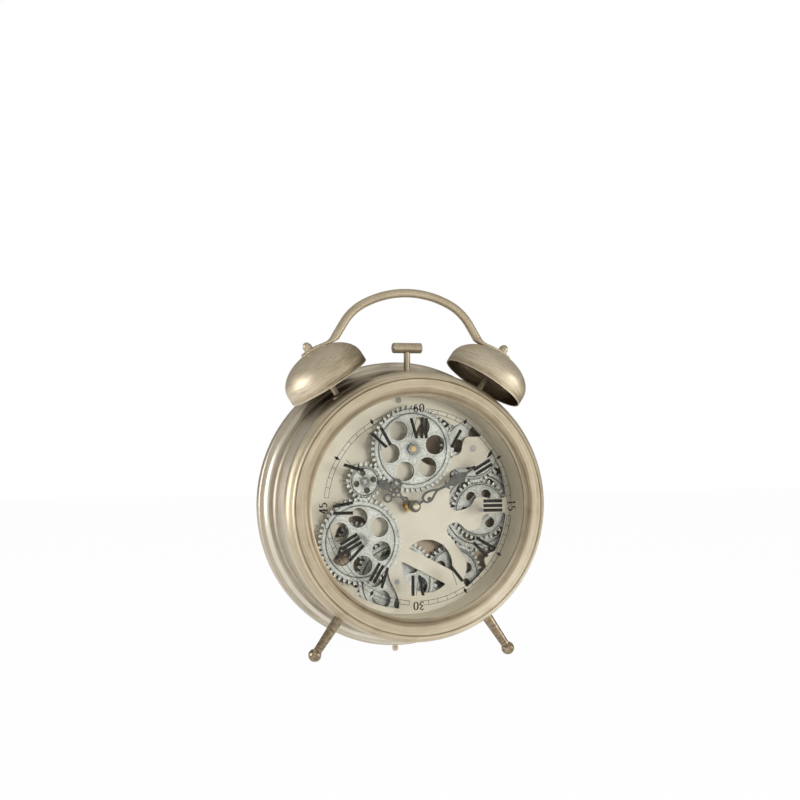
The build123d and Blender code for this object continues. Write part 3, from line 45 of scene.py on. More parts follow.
camera = bpy.data.objects.new("camera", lens)
camera.location = CAMERA_PLACE
camera.rotation_euler = (CAMERA_TILT, 0, CAMERA_TURN)
scene.collection.objects.link(camera)
scene.camera = camera
scene.view_settings.view_transform = "Standard"

# Studio: a white paper sweep for the camera. The metal mirrors a dimmer room that is lighter in front and
# above, and the light comes from a soft lamp in front, one overhead and one at each side of the table.
ROOM_TINT = (1.0, 0.99, 0.97, 1)
ROOM_STRENGTH = 0.20
MIRROR_BASE = 0.26
MIRROR_SIDES = 0.06
MIRROR_AHEAD = 0.58
MIRROR_ABOVE = 0.34
WHITE = (1, 1, 1, 1)
FLOOR_PAPER = (0.86, 0.86, 0.85, 1)
FLOOR_GLOW = 0.98
FLOOR_REACH = 4


def node(tree, kind, inputs=(), **settings):
    """One shader node: settings are its own choices, inputs fill its sockets with numbers or with links."""
    made = tree.nodes.new("ShaderNode" + kind)
    for key, value in settings.items():
        setattr(made, key, value)
    for key, value in dict(inputs).items():
        if isinstance(value, bpy.types.NodeSocket):
            tree.links.new(value, made.inputs[key])
        else:
            made.inputs[key].default_value = value
    return made


def calc(tree, operation, first, second=0.0, third=0.0, clamp=False):
    """Result of one Math node on up to three numbers or sockets."""
    made = node(tree, "Math", {0: first, 1: second, 2: third}, operation=operation, use_clamp=clamp)
    return made.outputs[0]


def square_of(tree, value):
    """A value times itself."""
    return calc(tree, "MULTIPLY", value, value)


def sum_of(tree, start, shares):
    """Start plus each value times its share, in the order given."""
    total = start
    for value, share in shares:
        total = calc(tree, "MULTIPLY_ADD", value, share, total)
    return total


world = bpy.data.worlds.new("studio")
scene.world = world
world.use_nodes = True
tree = world.node_tree
tree.nodes.clear()
rays = node(tree, "LightPath")
facing = node(tree, "SeparateXYZ", {0: node(tree, "TexCoord").outputs["Generated"]})
sideways = calc(tree, "POWER", calc(tree, "ABSOLUTE", facing.outputs["X"]), 4.0)
ahead = calc(tree, "MAXIMUM", calc(tree, "MULTIPLY", facing.outputs["Y"], -1.0), 0.0)
above = calc(tree, "MAXIMUM", facing.outputs["Z"], 0.0)
mirrored = sum_of(tree, MIRROR_BASE, (
    (sideways, MIRROR_SIDES), (square_of(tree, ahead), MIRROR_AHEAD), (square_of(tree, above), MIRROR_ABOVE)))
room_light = node(tree, "Background", {"Color": ROOM_TINT, "Strength": ROOM_STRENGTH}).outputs[0]
mirror_light = node(tree, "Background", {"Color": ROOM_TINT, "Strength": mirrored}).outputs[0]
paper_light = node(tree, "Background", {"Color": WHITE, "Strength": 1.0}).outputs[0]
unseen = node(tree, "MixShader", {0: rays.outputs["Is Glossy Ray"], 1: room_light, 2: mirror_light})
seen = calc(tree, "MAXIMUM", rays.outputs["Is Camera Ray"], rays.outputs["Is Transmission Ray"])
sky = node(tree, "MixShader", {0: seen, 1: unseen.outputs[0], 2: paper_light})
node(tree, "OutputWorld", {"Surface": sky.outputs[0]})

floor_mesh = bpy.data.meshes.new("paper_floor")
floor_corners = [(FLOOR_REACH * x, FLOOR_REACH * y, 0) for x, y in ((-1, -1), (1, -1), (1, 1), (-1, 1))]
floor_mesh.from_pydata(floor_corners, [], [(0, 1, 2, 3)])
floor = bpy.data.objects.new("paper_floor", floor_mesh)
scene.collection.objects.link(floor)
floor_paper = bpy.data.materials.new("white_paper")
floor_paper.use_nodes = True
tree = floor_paper.node_tree
tree.nodes.clear()
rays = node(tree, "LightPath")
sheet_white = node(tree, "BsdfDiffuse", {"Color": FLOOR_PAPER}).outputs[0]
glow = node(tree, "Emission", {"Color": WHITE, "Strength": 1.0}).outputs[0]
seen = calc(tree, "MAXIMUM", rays.outputs["Is Camera Ray"], rays.outputs["Is Transmission Ray"])
seen = calc(tree, "MAXIMUM", seen, rays.outputs["Is Glossy Ray"])
lit = node(tree, "MixShader", {0: calc(tree, "MULTIPLY", seen, FLOOR_GLOW), 1: sheet_white, 2: glow})
node(tree, "OutputMaterial", {"Surface": lit.outputs[0]})
floor_mesh.materials.append(floor_paper)

for lamp_name, place, aim, size, power, in_mirrors in (
        ("softbox_front", (0.70, -2.35, 0.30), (0, 0, 0.16), 0.8, 45.0, False),
        ("softbox_top", (-0.1, -0.8, 2.1), (0, 0, 0.15), 1.2, 16.0, False),
        ("softbox_left", (-1.7, 0.10, 0.20), (0, 0, 0.2), 1.3, 20.0, True),
        ("softbox_right", (1.5, -0.75, 0.20), (0, 0, 0.2), 1.1, 10.0, True)):
    lamp = bpy.data.lights.new(lamp_name, "AREA")
    lamp.size = size
    lamp.energy = power
    holder = bpy.data.objects.new(lamp_name, lamp)
    across, back, up = np.array(place) - np.array(aim)
    holder.location = place
    holder.rotation_euler = (np.arctan2(np.hypot(across, back), up), 0, np.arctan2(back, across) + pi / 2)
    holder.visible_glossy = in_mirrors
    scene.collection.objects.link(holder)

# Drum, bezel and rear rim: spun sheet in an antique gold finish, brushed round while it turned on the lathe
# and rubbed back by hand, so that brown is left in long streaks. The bezel is darker along its groove; the
# drum and rim are darker under and between the bells as painted shade, and the bezel and rim carry further
# bands of painted shade and painted highlight.
AXIS = (0, 0, 0.153)
UNTURNED = (0, 0, 0)
FRONT_TURN = (-pi / 2, 0, 0)
GOLD_BROWN = (0.120, 0.085, 0.050)
GOLD_DULL = (0.360, 0.290, 0.190)
GOLD_BODY = (0.560, 0.475, 0.335)
GOLD_RUBBED = (0.780, 0.705, 0.560)
GOLD_STOPS = ((0.10, GOLD_BROWN), (0.36, GOLD_DULL), (0.58, GOLD_BODY), (0.88, GOLD_RUBBED))
GOLD_EVEN = 0.46
GOLD_METAL = 0.84
STREAK_SHARE = 0.75
SCRATCH_SHARE = 0.55
CLOUD_SHARE = 0.20
STAIN_SHARE = -0.16
STAIN_BELOW = 0.42
STAIN_SLOPE = 9.0
HOLLOW_SHADE_SHARE = -0.38
RUBBED_GLOSS = -0.18
BRUSH_DEPTH = 0.000018


def place_of(tree, centre, turn):
    """Object coordinates measured from a centre, in axes turned by given angles."""
    coords = node(tree, "TexCoord")
    local = node(tree, "Mapping", {"Vector": coords.outputs["Object"], "Location": centre, "Rotation": turn},
                 vector_type="TEXTURE")
    return local.outputs[0]


def polar_of(tree, local):
    """Distance from the local Z axis, height along it, and the cosine and sine of the angle round it."""
    x, y, z = node(tree, "SeparateXYZ", {0: local}).outputs
    square = calc(tree, "MULTIPLY_ADD", x, x, square_of(tree, y))
    radius = calc(tree, "SQRT", calc(tree, "ADD", square, 1e-9))
    return radius, z, calc(tree, "DIVIDE", x, radius), calc(tree, "DIVIDE", y, radius)


def noise_at(tree, vector, scale, detail=2.0, roughness=0.5, w=None):
    """Noise from nought to one, in three dimensions, or in four when a fourth value is given."""
    inputs = {"Vector": vector, "Scale": scale, "Detail": detail, "Roughness": roughness}
    if w is None:
        return node(tree, "TexNoise", inputs).outputs[0]
    inputs["W"] = w
    return node(tree, "TexNoise", inputs, noise_dimensions="4D").outputs[0]


def fade(tree, distance, reach):
    """One minus the distance over the reach, held between nought and one."""
    return calc(tree, "SUBTRACT", 1.0, calc(tree, "DIVIDE", distance, reach), clamp=True)


def off_by(tree, value, place):
    """How far a value is from a place, whichever side it is on."""
    return calc(tree, "ABSOLUTE", calc(tree, "SUBTRACT", value, place))


def blend_of(tree, amount, stops):
    """Colour ramp: stops are pairs of a position and a colour."""
    ramp = node(tree, "ValToRGB", {0: amount})
    band = ramp.color_ramp
    while len(band.elements) < len(stops):
        band.elements.new(0.5)
    for element, (position, colour) in zip(band.elements, stops):
        element.position = position
        element.color = colour
    return ramp.outputs[0]


def fresh(name):
    """New material with an empty node tree."""
    made = bpy.data.materials.new(name)
    made.use_nodes = True
    made.node_tree.nodes.clear()
    return made, made.node_tree


def surface(tree, inputs, height=None, depth=0.0):
    """Close a material with the main shader and, where a height is given, a bump of that depth in metres."""
    inputs = dict(inputs)
    if height is not None:
        bump = node(tree, "Bump", {"Height": height, "Distance": depth, "Strength": 1.0})
        inputs["Normal"] = bump.outputs[0]
    shader = node(tree, "BsdfPrincipled", inputs)
    node(tree, "OutputMaterial", {"Surface": shader.outputs[0]})


def within_dome(tree, radius, height, dome):
    """One inside a dome and nought outside: radius and height over their limits, squared and added."""
    wide, foot, rise = dome
    over = calc(tree, "DIVIDE", calc(tree, "MAXIMUM", calc(tree, "SUBTRACT", height, foot), 0.0), rise)
    beside = calc(tree, "DIVIDE", radius, wide)
    square = calc(tree, "MULTIPLY_ADD", over, over, square_of(tree, beside))
    return calc(tree, "LESS_THAN", square, 1.0)


def brushed_gold(name, centre, turn, rings=600.0, sweep=3.0, tone=0.0, grain=0.6, reflected_grey=0.0, dull=0.50,
                 marks=(), painted_shade_and_light=(), shaded_hollow=None):
    """Antique gold brushed round an axis: streaks are noise that is fine across the rings, slow along them.

    Marks are places on the profile, by distance from the axis or by height along it, with a width and an
    amount by which the colour is lighter or darker there: some are wear and others painted shade and painted
    highlight. Painted shade and light are spots, each a point of the object, a reach and an amount by which
    the colour is darker as painted shade or lighter as painted light. The shaded hollow is the radius, the
    foot and the rise of a dome, and the side of the sheet within that dome is darkened as painted shade. The
    reflected grey is how far the gold is greyed, as painted reflection of the pale room, and dull is the
    roughness where nothing is rubbed.
    """
    made, tree = fresh(name)
    local = place_of(tree, centre, turn)
    radius, height, cosine, sine = polar_of(tree, local)
    ring_place = node(tree, "CombineXYZ", {
        0: calc(tree, "MULTIPLY", radius, rings), 1: calc(tree, "MULTIPLY", height, rings),
        2: calc(tree, "MULTIPLY", cosine, sweep)}).outputs[0]
    around = calc(tree, "MULTIPLY", sine, sweep)
    streak = noise_at(tree, ring_place, 1.0, 3.0, 0.6, around)
    scratch = noise_at(tree, ring_place, 3.5, 2.0, 0.6, around)
    cloud = noise_at(tree, local, 45.0, 3.0, 0.55)
    stain = calc(tree, "MULTIPLY_ADD", cloud, 0.5, calc(tree, "MULTIPLY", streak, 0.5))
    stain = calc(tree, "MULTIPLY", calc(tree, "SUBTRACT", STAIN_BELOW, stain), STAIN_SLOPE, clamp=True)
    even = tone + GOLD_EVEN - (STREAK_SHARE + SCRATCH_SHARE) / 2 * grain
    amount = sum_of(tree, even, (
        (streak, STREAK_SHARE * grain), (scratch, SCRATCH_SHARE * grain), (cloud, CLOUD_SHARE),
        (stain, STAIN_SHARE)))
    for kind, place, wide, strength in marks:
        apart = off_by(tree, radius if kind == "radius" else height, place)
        amount = sum_of(tree, amount, [(fade(tree, apart, wide), strength)])
    # Spots of painted shade and painted light.
    for middle, reach, strength in painted_shade_and_light:
        ends = {0: node(tree, "TexCoord").outputs["Object"], 1: middle}
        apart = node(tree, "VectorMath", ends, operation="DISTANCE").outputs["Value"]
        amount = sum_of(tree, amount, [(fade(tree, apart, reach), strength)])
    # Painted shade inside the dome of a bell.
    if shaded_hollow:
        amount = sum_of(tree, amount, [(within_dome(tree, radius, height, shaded_hollow), HOLLOW_SHADE_SHARE)])
    amount = calc(tree, "ADD", amount, 0.0, clamp=True)
    # Gold greyed towards neutral as painted reflection.
    stops = []
    for position, gold in GOLD_STOPS:
        grey = 1.04 * gold[1]
        stops.append((position, [part + (grey - part) * reflected_grey for part in gold] + [1]))
    colour = blend_of(tree, amount, stops)
    rough = calc(tree, "MULTIPLY_ADD", amount, RUBBED_GLOSS, dull)
    surface(tree, {"Base Color": colour, "Metallic": GOLD_METAL, "Roughness": rough}, streak, BRUSH_DEPTH)
    return made


def dress(material, *nodes):
    """Give carried-over pieces a material in every slot they have."""
    for name in nodes:
        slots = bpy.data.objects[name].data.materials
        for index in range(len(slots)):
            slots[index] = material


# Bezel bands: darker along the groove and in a band near the back; painted shade on the inner slope; lighter
# lines on the front edge and on the bead, partly wear and partly painted highlight.
BEZEL_BANDS_AND_PAINTED_LIGHT = (
    ("radius", 0.1282, 0.0012, -0.16), ("radius", 0.1150, 0.0055, -0.34), ("radius", 0.1310, 0.0012, 0.20),
    ("radius", 0.1360, 0.0010, 0.15), ("height", -0.0335, 0.0016, -0.30))
# Painted shade on the rim's outer flange and on the cove where it meets the drum, dimming their reflections.
RIM_PAINTED_SHADE = (("radius", 0.1466, 0.0026, -0.26), ("radius", 0.1345, 0.0048, -0.44))
# Painted shade: the drum, rim and bezel darker under the two bells, and the drum and rim darker between them,
# where the bells keep the light off.
PAINTED_SHADE_UNDER_BELLS = tuple(((side * 0.0790, 0.0, 0.2730), 0.052, -0.75) for side in (-1, 1))
PAINTED_SHADE_BETWEEN_BELLS = ((0, 0, 0.295), 0.075, -0.35)
# Painted light: the lower right of the bezel's inner slope is lighter, where it faces the light.
BEZEL_PAINTED_LIGHT_LOW_RIGHT = ((0.078, -0.036, 0.072), 0.085, 0.26)
dress(brushed_gold("bezel_gold", AXIS, FRONT_TURN, rings=560.0, sweep=1.4, grain=0.65, marks=BEZEL_BANDS_AND_PAINTED_LIGHT,
                   painted_shade_and_light=(*PAINTED_SHADE_UNDER_BELLS, BEZEL_PAINTED_LIGHT_LOW_RIGHT)), "front_bezel")
# The rim's and drum's gold is greyed as painted reflection of the pale room, and the drum's gold is also
# lighter, as painted light from the lamp at the left.
dress(brushed_gold("rim_gold", AXIS, FRONT_TURN, rings=900.0, tone=0.25, reflected_grey=0.25, marks=RIM_PAINTED_SHADE,
                   painted_shade_and_light=(*PAINTED_SHADE_UNDER_BELLS, PAINTED_SHADE_BETWEEN_BELLS)), "rear_rim")
dress(brushed_gold("drum_gold", AXIS, FRONT_TURN, tone=0.40, grain=0.5, reflected_grey=0.45,
                   painted_shade_and_light=(*PAINTED_SHADE_UNDER_BELLS, PAINTED_SHADE_BETWEEN_BELLS)), "case_drum")

# Legs, bells, bell posts and rear foot: turned or spun pieces in the same gold. The legs, bells and posts
# stand on lines that run out from the clock's middle, and their brush marks run round those lines.
BELL_TURN = radians(33.3)
LEG_TURN = radians(180 - 34.8)
REAR_FOOT_PLACE = (0, 0.04075, 0)
# Painted shade: the inside of each bell's dome is darker, where little light reaches.
BELL_SHADED_HOLLOW = (0.0428, 0.158, 0.0268)
# Bell bands: darker just above the lip, a thin painted highlight along the lip where a rolled edge would
# catch the light, and a little darker round the post.
BELL_BANDS_AND_PAINTED_HIGHLIGHT = (
    ("height", 0.1515, 0.0050, -0.20), ("height", 0.1491, 0.0006, 0.45), ("radius", 0.0, 0.020, -0.06))
# Painted shade: the left bell is darker on its right and lower front side, and the right bell on its outer
# side, away from the side lamps.
LEFT_BELL_PAINTED_SHADE = (((-0.046, -0.015, 0.298), 0.042, -0.52), ((-0.074, -0.034, 0.281), 0.034, -0.32))
RIGHT_BELL_PAINTED_SHADE = (((0.1227, -0.010, 0.262), 0.036, -0.55),)
for side, tag, painted_shade in ((-1, "left", LEFT_BELL_PAINTED_SHADE), (1, "right", RIGHT_BELL_PAINTED_SHADE)):
    bell_turn = (0, side * BELL_TURN, 0)
    leg_turn = (0, side * LEG_TURN, 0)
    dress(brushed_gold("bell_gold_" + tag, AXIS, bell_turn, rings=900.0, sweep=2.2, tone=0.09, grain=0.80,
                       dull=0.56, marks=BELL_BANDS_AND_PAINTED_HIGHLIGHT, painted_shade_and_light=painted_shade, shaded_hollow=BELL_SHADED_HOLLOW), "bell_" + tag)
    dress(brushed_gold("post_gold_" + tag, AXIS, bell_turn, tone=-0.10, grain=0.4), "bell_post_" + tag)
    dress(brushed_gold("leg_gold_" + tag, AXIS, leg_turn, rings=420.0, tone=-0.30, grain=0.9, dull=0.27),
          "leg_" + tag)
dress(brushed_gold("foot_gold", REAR_FOOT_PLACE, UNTURNED, grain=0.4), "rear_foot")

# Handle, cap nuts and hammer: a bent bar clamped on the bells by domed nuts, and a rod with a cross head that
# swings between them, all in the same gold, brushed along the arch and round the rod and the head.
HANDLE_CENTRE = (0, 0, 0.271)
HAMMER_ROD = (0, 0, 0.265)
HAMMER_HEAD = (0, 0, 0.295)
CROSS_TURN = (0, pi / 2, 0)
dress(brushed_gold("handle_gold", HANDLE_CENTRE, FRONT_TURN, rings=260.0, sweep=1.6, tone=-0.04, grain=0.3),
      "handle")
dress(brushed_gold("nut_gold", AXIS, UNTURNED, tone=-0.06, grain=0.4, dull=0.40), "cap_nuts")
dress(brushed_gold("hammer_rod_gold", HAMMER_ROD, UNTURNED, tone=-0.08, grain=0.4, dull=0.42), "hammer_arm")
dress(brushed_gold("hammer_head_gold", HAMMER_HEAD, CROSS_TURN, tone=-0.08, grain=0.7, dull=0.42),
      "hammer_head")

# Dial, spacer, train plate and rear cover: cut or rolled sheet, sprayed before it goes in. The dial is matt
# cream that has yellowed a little, the spacer another cream, the plate bronze and the cover black.
CREAM = (0.618, 0.586, 0.478, 1)
CREAM_WORN = (0.545, 0.500, 0.385, 1)
WALL_CREAM = (0.66, 0.59, 0.455, 1)
WALL_WORN = (0.54, 0.475, 0.355, 1)
BRONZE = (0.45, 0.355, 0.24, 1)
BRONZE_DARK = (0.32, 0.25, 0.165, 1)
COVER_BLACK = (0.030, 0.029, 0.027, 1)
COVER_DEEP = (0.016, 0.016, 0.015, 1)


def sprayed(name, light, dark, cloud_scale, grain_scale, dull, depth):
    """Matt paint: two tones mixed by a slow cloud and a fine grain, with the grain as bump."""
    made, tree = fresh(name)
    local = place_of(tree, AXIS, UNTURNED)
    cloud = noise_at(tree, local, cloud_scale, 4.0, 0.6)
    grain = noise_at(tree, local, grain_scale, 2.0, 0.6)
    amount = calc(tree, "MULTIPLY_ADD", grain, 0.45, calc(tree, "MULTIPLY", cloud, 0.75))
    colour = blend_of(tree, amount, ((0.38, dark), (0.70, light)))
    rough = calc(tree, "MULTIPLY_ADD", grain, 0.2, dull)
    surface(tree, {"Base Color": colour, "Roughness": rough}, grain, depth)
    return made


dress(sprayed("dial_cream_paint", CREAM, CREAM_WORN, cloud_scale=24.0, grain_scale=900.0, dull=0.55,
              depth=0.00004), "dial_plate")
dress(sprayed("wall_paint", WALL_CREAM, WALL_WORN, cloud_scale=20.0, grain_scale=700.0, dull=0.5,
              depth=0.00004), "dial_spacer")
dress(sprayed("plate_bronze", BRONZE, BRONZE_DARK, cloud_scale=30.0, grain_scale=600.0, dull=0.45,
              depth=0.00006), "train_plate")
dress(sprayed("cover_black_paint", COVER_BLACK, COVER_DEEP, cloud_scale=40.0, grain_scale=500.0, dull=0.5,
              depth=0.00015), "rear_cover_left", "rear_cover_right")

# Wheels: cast in light alloy, silvered, blackened and rubbed, so that the faces are pale and stippled and the
# dark stays round the hubs, in the turned groove and between the teeth.
SILVER_BLACK = (0.040, 0.041, 0.036, 1)
SILVER_GREY = (0.230, 0.236, 0.205, 1)
SILVER_BODY = (0.500, 0.510, 0.450, 1)
SILVER_RUBBED = (0.780, 0.790, 0.725, 1)
SILVER_STOPS = ((0.06, SILVER_BLACK), (0.36, SILVER_GREY), (0.60, SILVER_BODY), (0.86, SILVER_RUBBED))
SILVER_EVEN = 0.08
MODULE = 0.120 / 68
ROOT_DEPTH = 1.25
HUB_REACH = 0.0085
GROOVE_HALF = 0.0008
GROOVE_REACH = 0.004
ROOT_REACH = 0.0016
EDGE_REACH = 0.0013
HOLE_REACH = 0.0045
STIPPLE_DEPTH = 0.0002


def rubbed_silver(name, middle, hole_turn, teeth, rim, hub, holes=0, hole_radius=0.0, hole_circle=0.0):
    """Silvered casting: shade from the distance to the hub, the groove, the tooth roots and the nearest hole.

    Faces that look sideways, the flanks of the teeth and the walls of the holes, keep the dark. The nearest
    hole is found by folding the angle round the axis into one sector, half a sector to each side of a hole.
    """
    made, tree = fresh(name)
    local = place_of(tree, (middle[0], 0, AXIS[2] + middle[1]), FRONT_TURN)
    radius, _, cosine, sine = polar_of(tree, local)
    root = MODULE * (teeth / 2 - ROOT_DEPTH)
    stipple = noise_at(tree, local, 620.0, 3.0, 0.7)
    cloud = noise_at(tree, local, 90.0, 3.0, 0.6)
    near_hub = square_of(tree, fade(tree, calc(tree, "SUBTRACT", radius, hub), HUB_REACH))
    off_groove = off_by(tree, radius, root - rim)
    in_groove = fade(tree, off_groove, GROOVE_HALF)
    by_groove = fade(tree, off_groove, GROOVE_REACH)
    at_root = fade(tree, off_by(tree, radius, root), ROOT_REACH)
    face = node(tree, "SeparateXYZ", {0: node(tree, "NewGeometry").outputs["Normal"]})
    on_side = calc(tree, "SUBTRACT", 1.0, calc(tree, "ABSOLUTE", face.outputs["Y"]), clamp=True)
    amount = sum_of(tree, SILVER_EVEN, (
        (stipple, 0.90), (cloud, 0.34), (near_hub, -0.34), (in_groove, -0.44), (by_groove, -0.12),
        (at_root, -0.24), (on_side, -0.40)))
    if holes:
        sector = 2 * pi / holes
        angle = calc(tree, "ARCTAN2", calc(tree, "MULTIPLY", sine, -1.0), cosine)
        turned = calc(tree, "ADD", angle, 4 * pi - radians(hole_turn) + sector / 2)
        within = calc(tree, "SUBTRACT", calc(tree, "MODULO", turned, sector), sector / 2)
        along = calc(tree, "MULTIPLY", radius, calc(tree, "COSINE", within))
        along = calc(tree, "SUBTRACT", along, hole_circle)
        beside = calc(tree, "MULTIPLY", radius, calc(tree, "SINE", within))
        square = calc(tree, "MULTIPLY_ADD", along, along, square_of(tree, beside))
        to_edge = calc(tree, "SUBTRACT", calc(tree, "SQRT", square), hole_radius)
        amount = sum_of(tree, amount, (
            (fade(tree, to_edge, HOLE_REACH), -0.14), (fade(tree, to_edge, EDGE_REACH), 0.18)))
    amount = calc(tree, "ADD", amount, 0.0, clamp=True)
    colour = blend_of(tree, amount, SILVER_STOPS)
    rough = calc(tree, "MULTIPLY_ADD", amount, -0.2, 0.56)
    surface(tree, {"Base Color": colour, "Metallic": 0.62, "Roughness": rough}, stipple, STIPPLE_DEPTH)
    return made


UPPER = (0.0, 0.0575)
LEFT = (-0.0549, -0.0349)
LOWER = (-0.01245, -0.07735)
RIGHT = (0.07783, -0.00554)
IDLER = (-0.0504, 0.0249)
LOWER_IDLER = (0.0500, -0.07233)
CORNER = (0.06898, 0.05737)
LARGE = dict(teeth=48, rim=0.00424, hub=0.0055, holes=6, hole_radius=0.0100, hole_circle=0.0239)
SMALL = dict(teeth=20, rim=0.00183, hub=0.0040, holes=4, hole_radius=0.0032, hole_circle=0.0090)
MIDDLE = dict(teeth=34, rim=0.00188, hub=0.0055, holes=6, hole_radius=0.0055, hole_circle=0.0165)
ENDING = dict(teeth=38, rim=0.00241, hub=0.0055, holes=4, hole_radius=0.0070, hole_circle=0.0154)
LEFT_PINION = dict(teeth=20, rim=0.00183, hub=0.0055)
LOWER_PINION = dict(teeth=37, rim=0.00188, hub=0.0055)
DOUBLE_HUB = 0.0080
for wheel_name, middle, hole_turn, sizes in (
        ("upper_wheel", UPPER, 10.0, LARGE),
        ("left_wheel", LEFT, 36.0, LARGE),
        ("lower_wheel", LOWER, -12.0, LARGE),
        ("right_wheel", RIGHT, 8.0, LARGE),
        ("idler_wheel", IDLER, 14.0, SMALL),
        ("left_pinion", LEFT, 0.0, LEFT_PINION),
        ("lower_pinion", LOWER, 0.0, LOWER_PINION),
        ("lower_idler", LOWER_IDLER, 25.0, {**MIDDLE, "hub": DOUBLE_HUB}),
        ("right_pinion", RIGHT, 8.0, MIDDLE),
        ("corner_wheel", CORNER, 80.0, ENDING)):
    dress(rubbed_silver(wheel_name + "_silver", middle, hole_turn, **sizes), wheel_name)

# Steel fittings: zinc-plated screws, nuts, arbors and studs, bought in and left bare, a little clouded. The
# two screws in the face of the dial are duller and spotted.
STEEL = (0.52, 0.52, 0.49, 1)
STEEL_DULL = (0.27, 0.27, 0.25, 1)
SCREW_GREY = (0.40, 0.39, 0.34, 1)
SCREW_SPOTS = (0.09, 0.09, 0.08, 1)


def bare_metal(name, light, dark, scale, dull, metal):
    """Plain metal: two tones mixed by a cloud and a grain nine times as fine, duller where it is darker."""
    made, tree = fresh(name)
    local = place_of(tree, AXIS, UNTURNED)
    cloud = noise_at(tree, local, scale, 4.0, 0.65)
    grain = noise_at(tree, local, scale * 9.0, 2.0, 0.6)
    amount = calc(tree, "MULTIPLY_ADD", grain, 0.4, calc(tree, "MULTIPLY", cloud, 0.7))
    colour = blend_of(tree, amount, ((0.35, dark), (0.65, light)))
    rough = calc(tree, "MULTIPLY_ADD", amount, -0.2, dull)
    surface(tree, {"Base Color": colour, "Metallic": metal, "Roughness": rough}, grain, 0.00004)
    return made


dress(bare_metal("clouded_zinc", STEEL, STEEL_DULL, scale=160.0, dull=0.45, metal=0.9),
      "dial_ring", "train_pillars", "pillar_screws", "cover_screws", "foot_nuts", "bell_post_nuts",
      "left_arbor", "lower_arbor", "right_arbor", "minute_arbor", "wheel_studs",
      "hammer_bracket", "hammer_pin")
dress(bare_metal("stippled_zinc", SCREW_GREY, SCREW_SPOTS, scale=420.0, dull=0.6, metal=0.6), "dial_screws")

# Brass: the bush and its nut, the hour tube and the upper stud, turned and polished, and the paler cap nut
# that holds the hands on.
BRASS = (0.83, 0.62, 0.30, 1)
BRASS_DEEP = (0.62, 0.43, 0.19, 1)
PALE_BRASS = (0.86, 0.79, 0.60, 1)
PALE_BRASS_DEEP = (0.66, 0.57, 0.39, 1)
dress(bare_metal("turned_brass", BRASS, BRASS_DEEP, scale=180.0, dull=0.34, metal=1.0),
      "upper_stud", "movement_bush", "bush_nut", "hour_wheel")
dress(bare_metal("pale_brass", PALE_BRASS, PALE_BRASS_DEEP, scale=180.0, dull=0.36, metal=0.85), "hand_nut")

# Hands: stamped from thin sheet and pushed on the hour tube and the arbor, in dark grey lacquer that is
# rubbed paler in places by handling.
HAND_GREY = (0.125, 0.120, 0.105, 1)
HAND_DARK = (0.060, 0.058, 0.050, 1)
dress(bare_metal("hand_lacquer", HAND_GREY, HAND_DARK, scale=220.0, dull=0.5, metal=0.45),
      "hour_hand", "minute_hand")

# Movement and drive unit: moulded black plastic with a fine sparked surface, a white wheel inside, and two
# dry cells in plain grey sleeves.
PLASTIC_BLACK = (0.030, 0.030, 0.031, 1)
PLASTIC_DEEP = (0.018, 0.018, 0.019, 1)
PLASTIC_WHITE = (0.76, 0.74, 0.69, 1)
PLASTIC_CREAM = (0.66, 0.64, 0.59, 1)
SLEEVE = (0.20, 0.22, 0.24, 1)
SLEEVE_DARK = (0.13, 0.14, 0.16, 1)
dress(sprayed("moulded_black", PLASTIC_BLACK, PLASTIC_DEEP, cloud_scale=50.0, grain_scale=1400.0, dull=0.42,
              depth=0.00006), "movement_case", "movement_lid", "drive_unit", "drive_switch", "setting_knob")
dress(sprayed("moulded_white", PLASTIC_WHITE, PLASTIC_CREAM, cloud_scale=60.0, grain_scale=900.0, dull=0.4,
              depth=0.00004), "minute_wheel")
dress(bare_metal("cell_sleeve", SLEEVE, SLEEVE_DARK, scale=120.0, dull=0.42, metal=0.55),
      "movement_cell", "drive_cell")

# Glass: a flat clear pane seated behind the bezel's lip, almost unseen except for what it mirrors at a slant,
# with faint smears left by wiping.
PANE_TINT = (0.80, 0.82, 0.81, 1)
PANE_VEIL = 0.008
PANE_MIRROR = 0.5
pane, tree = fresh("clear_pane")
smear = noise_at(tree, place_of(tree, AXIS, UNTURNED), 30.0, 3.0, 0.6)
slant = calc(tree, "POWER", node(tree, "LayerWeight", {"Blend": 0.5}).outputs["Facing"], 4.0)
surface(tree, {"Base Color": PANE_TINT, "Metallic": 1.0,
               "Alpha": calc(tree, "MULTIPLY_ADD", slant, PANE_MIRROR, PANE_VEIL),
               "Roughness": calc(tree, "MULTIPLY_ADD", smear, 0.05, 0.01)})
dress(pane, "glass")

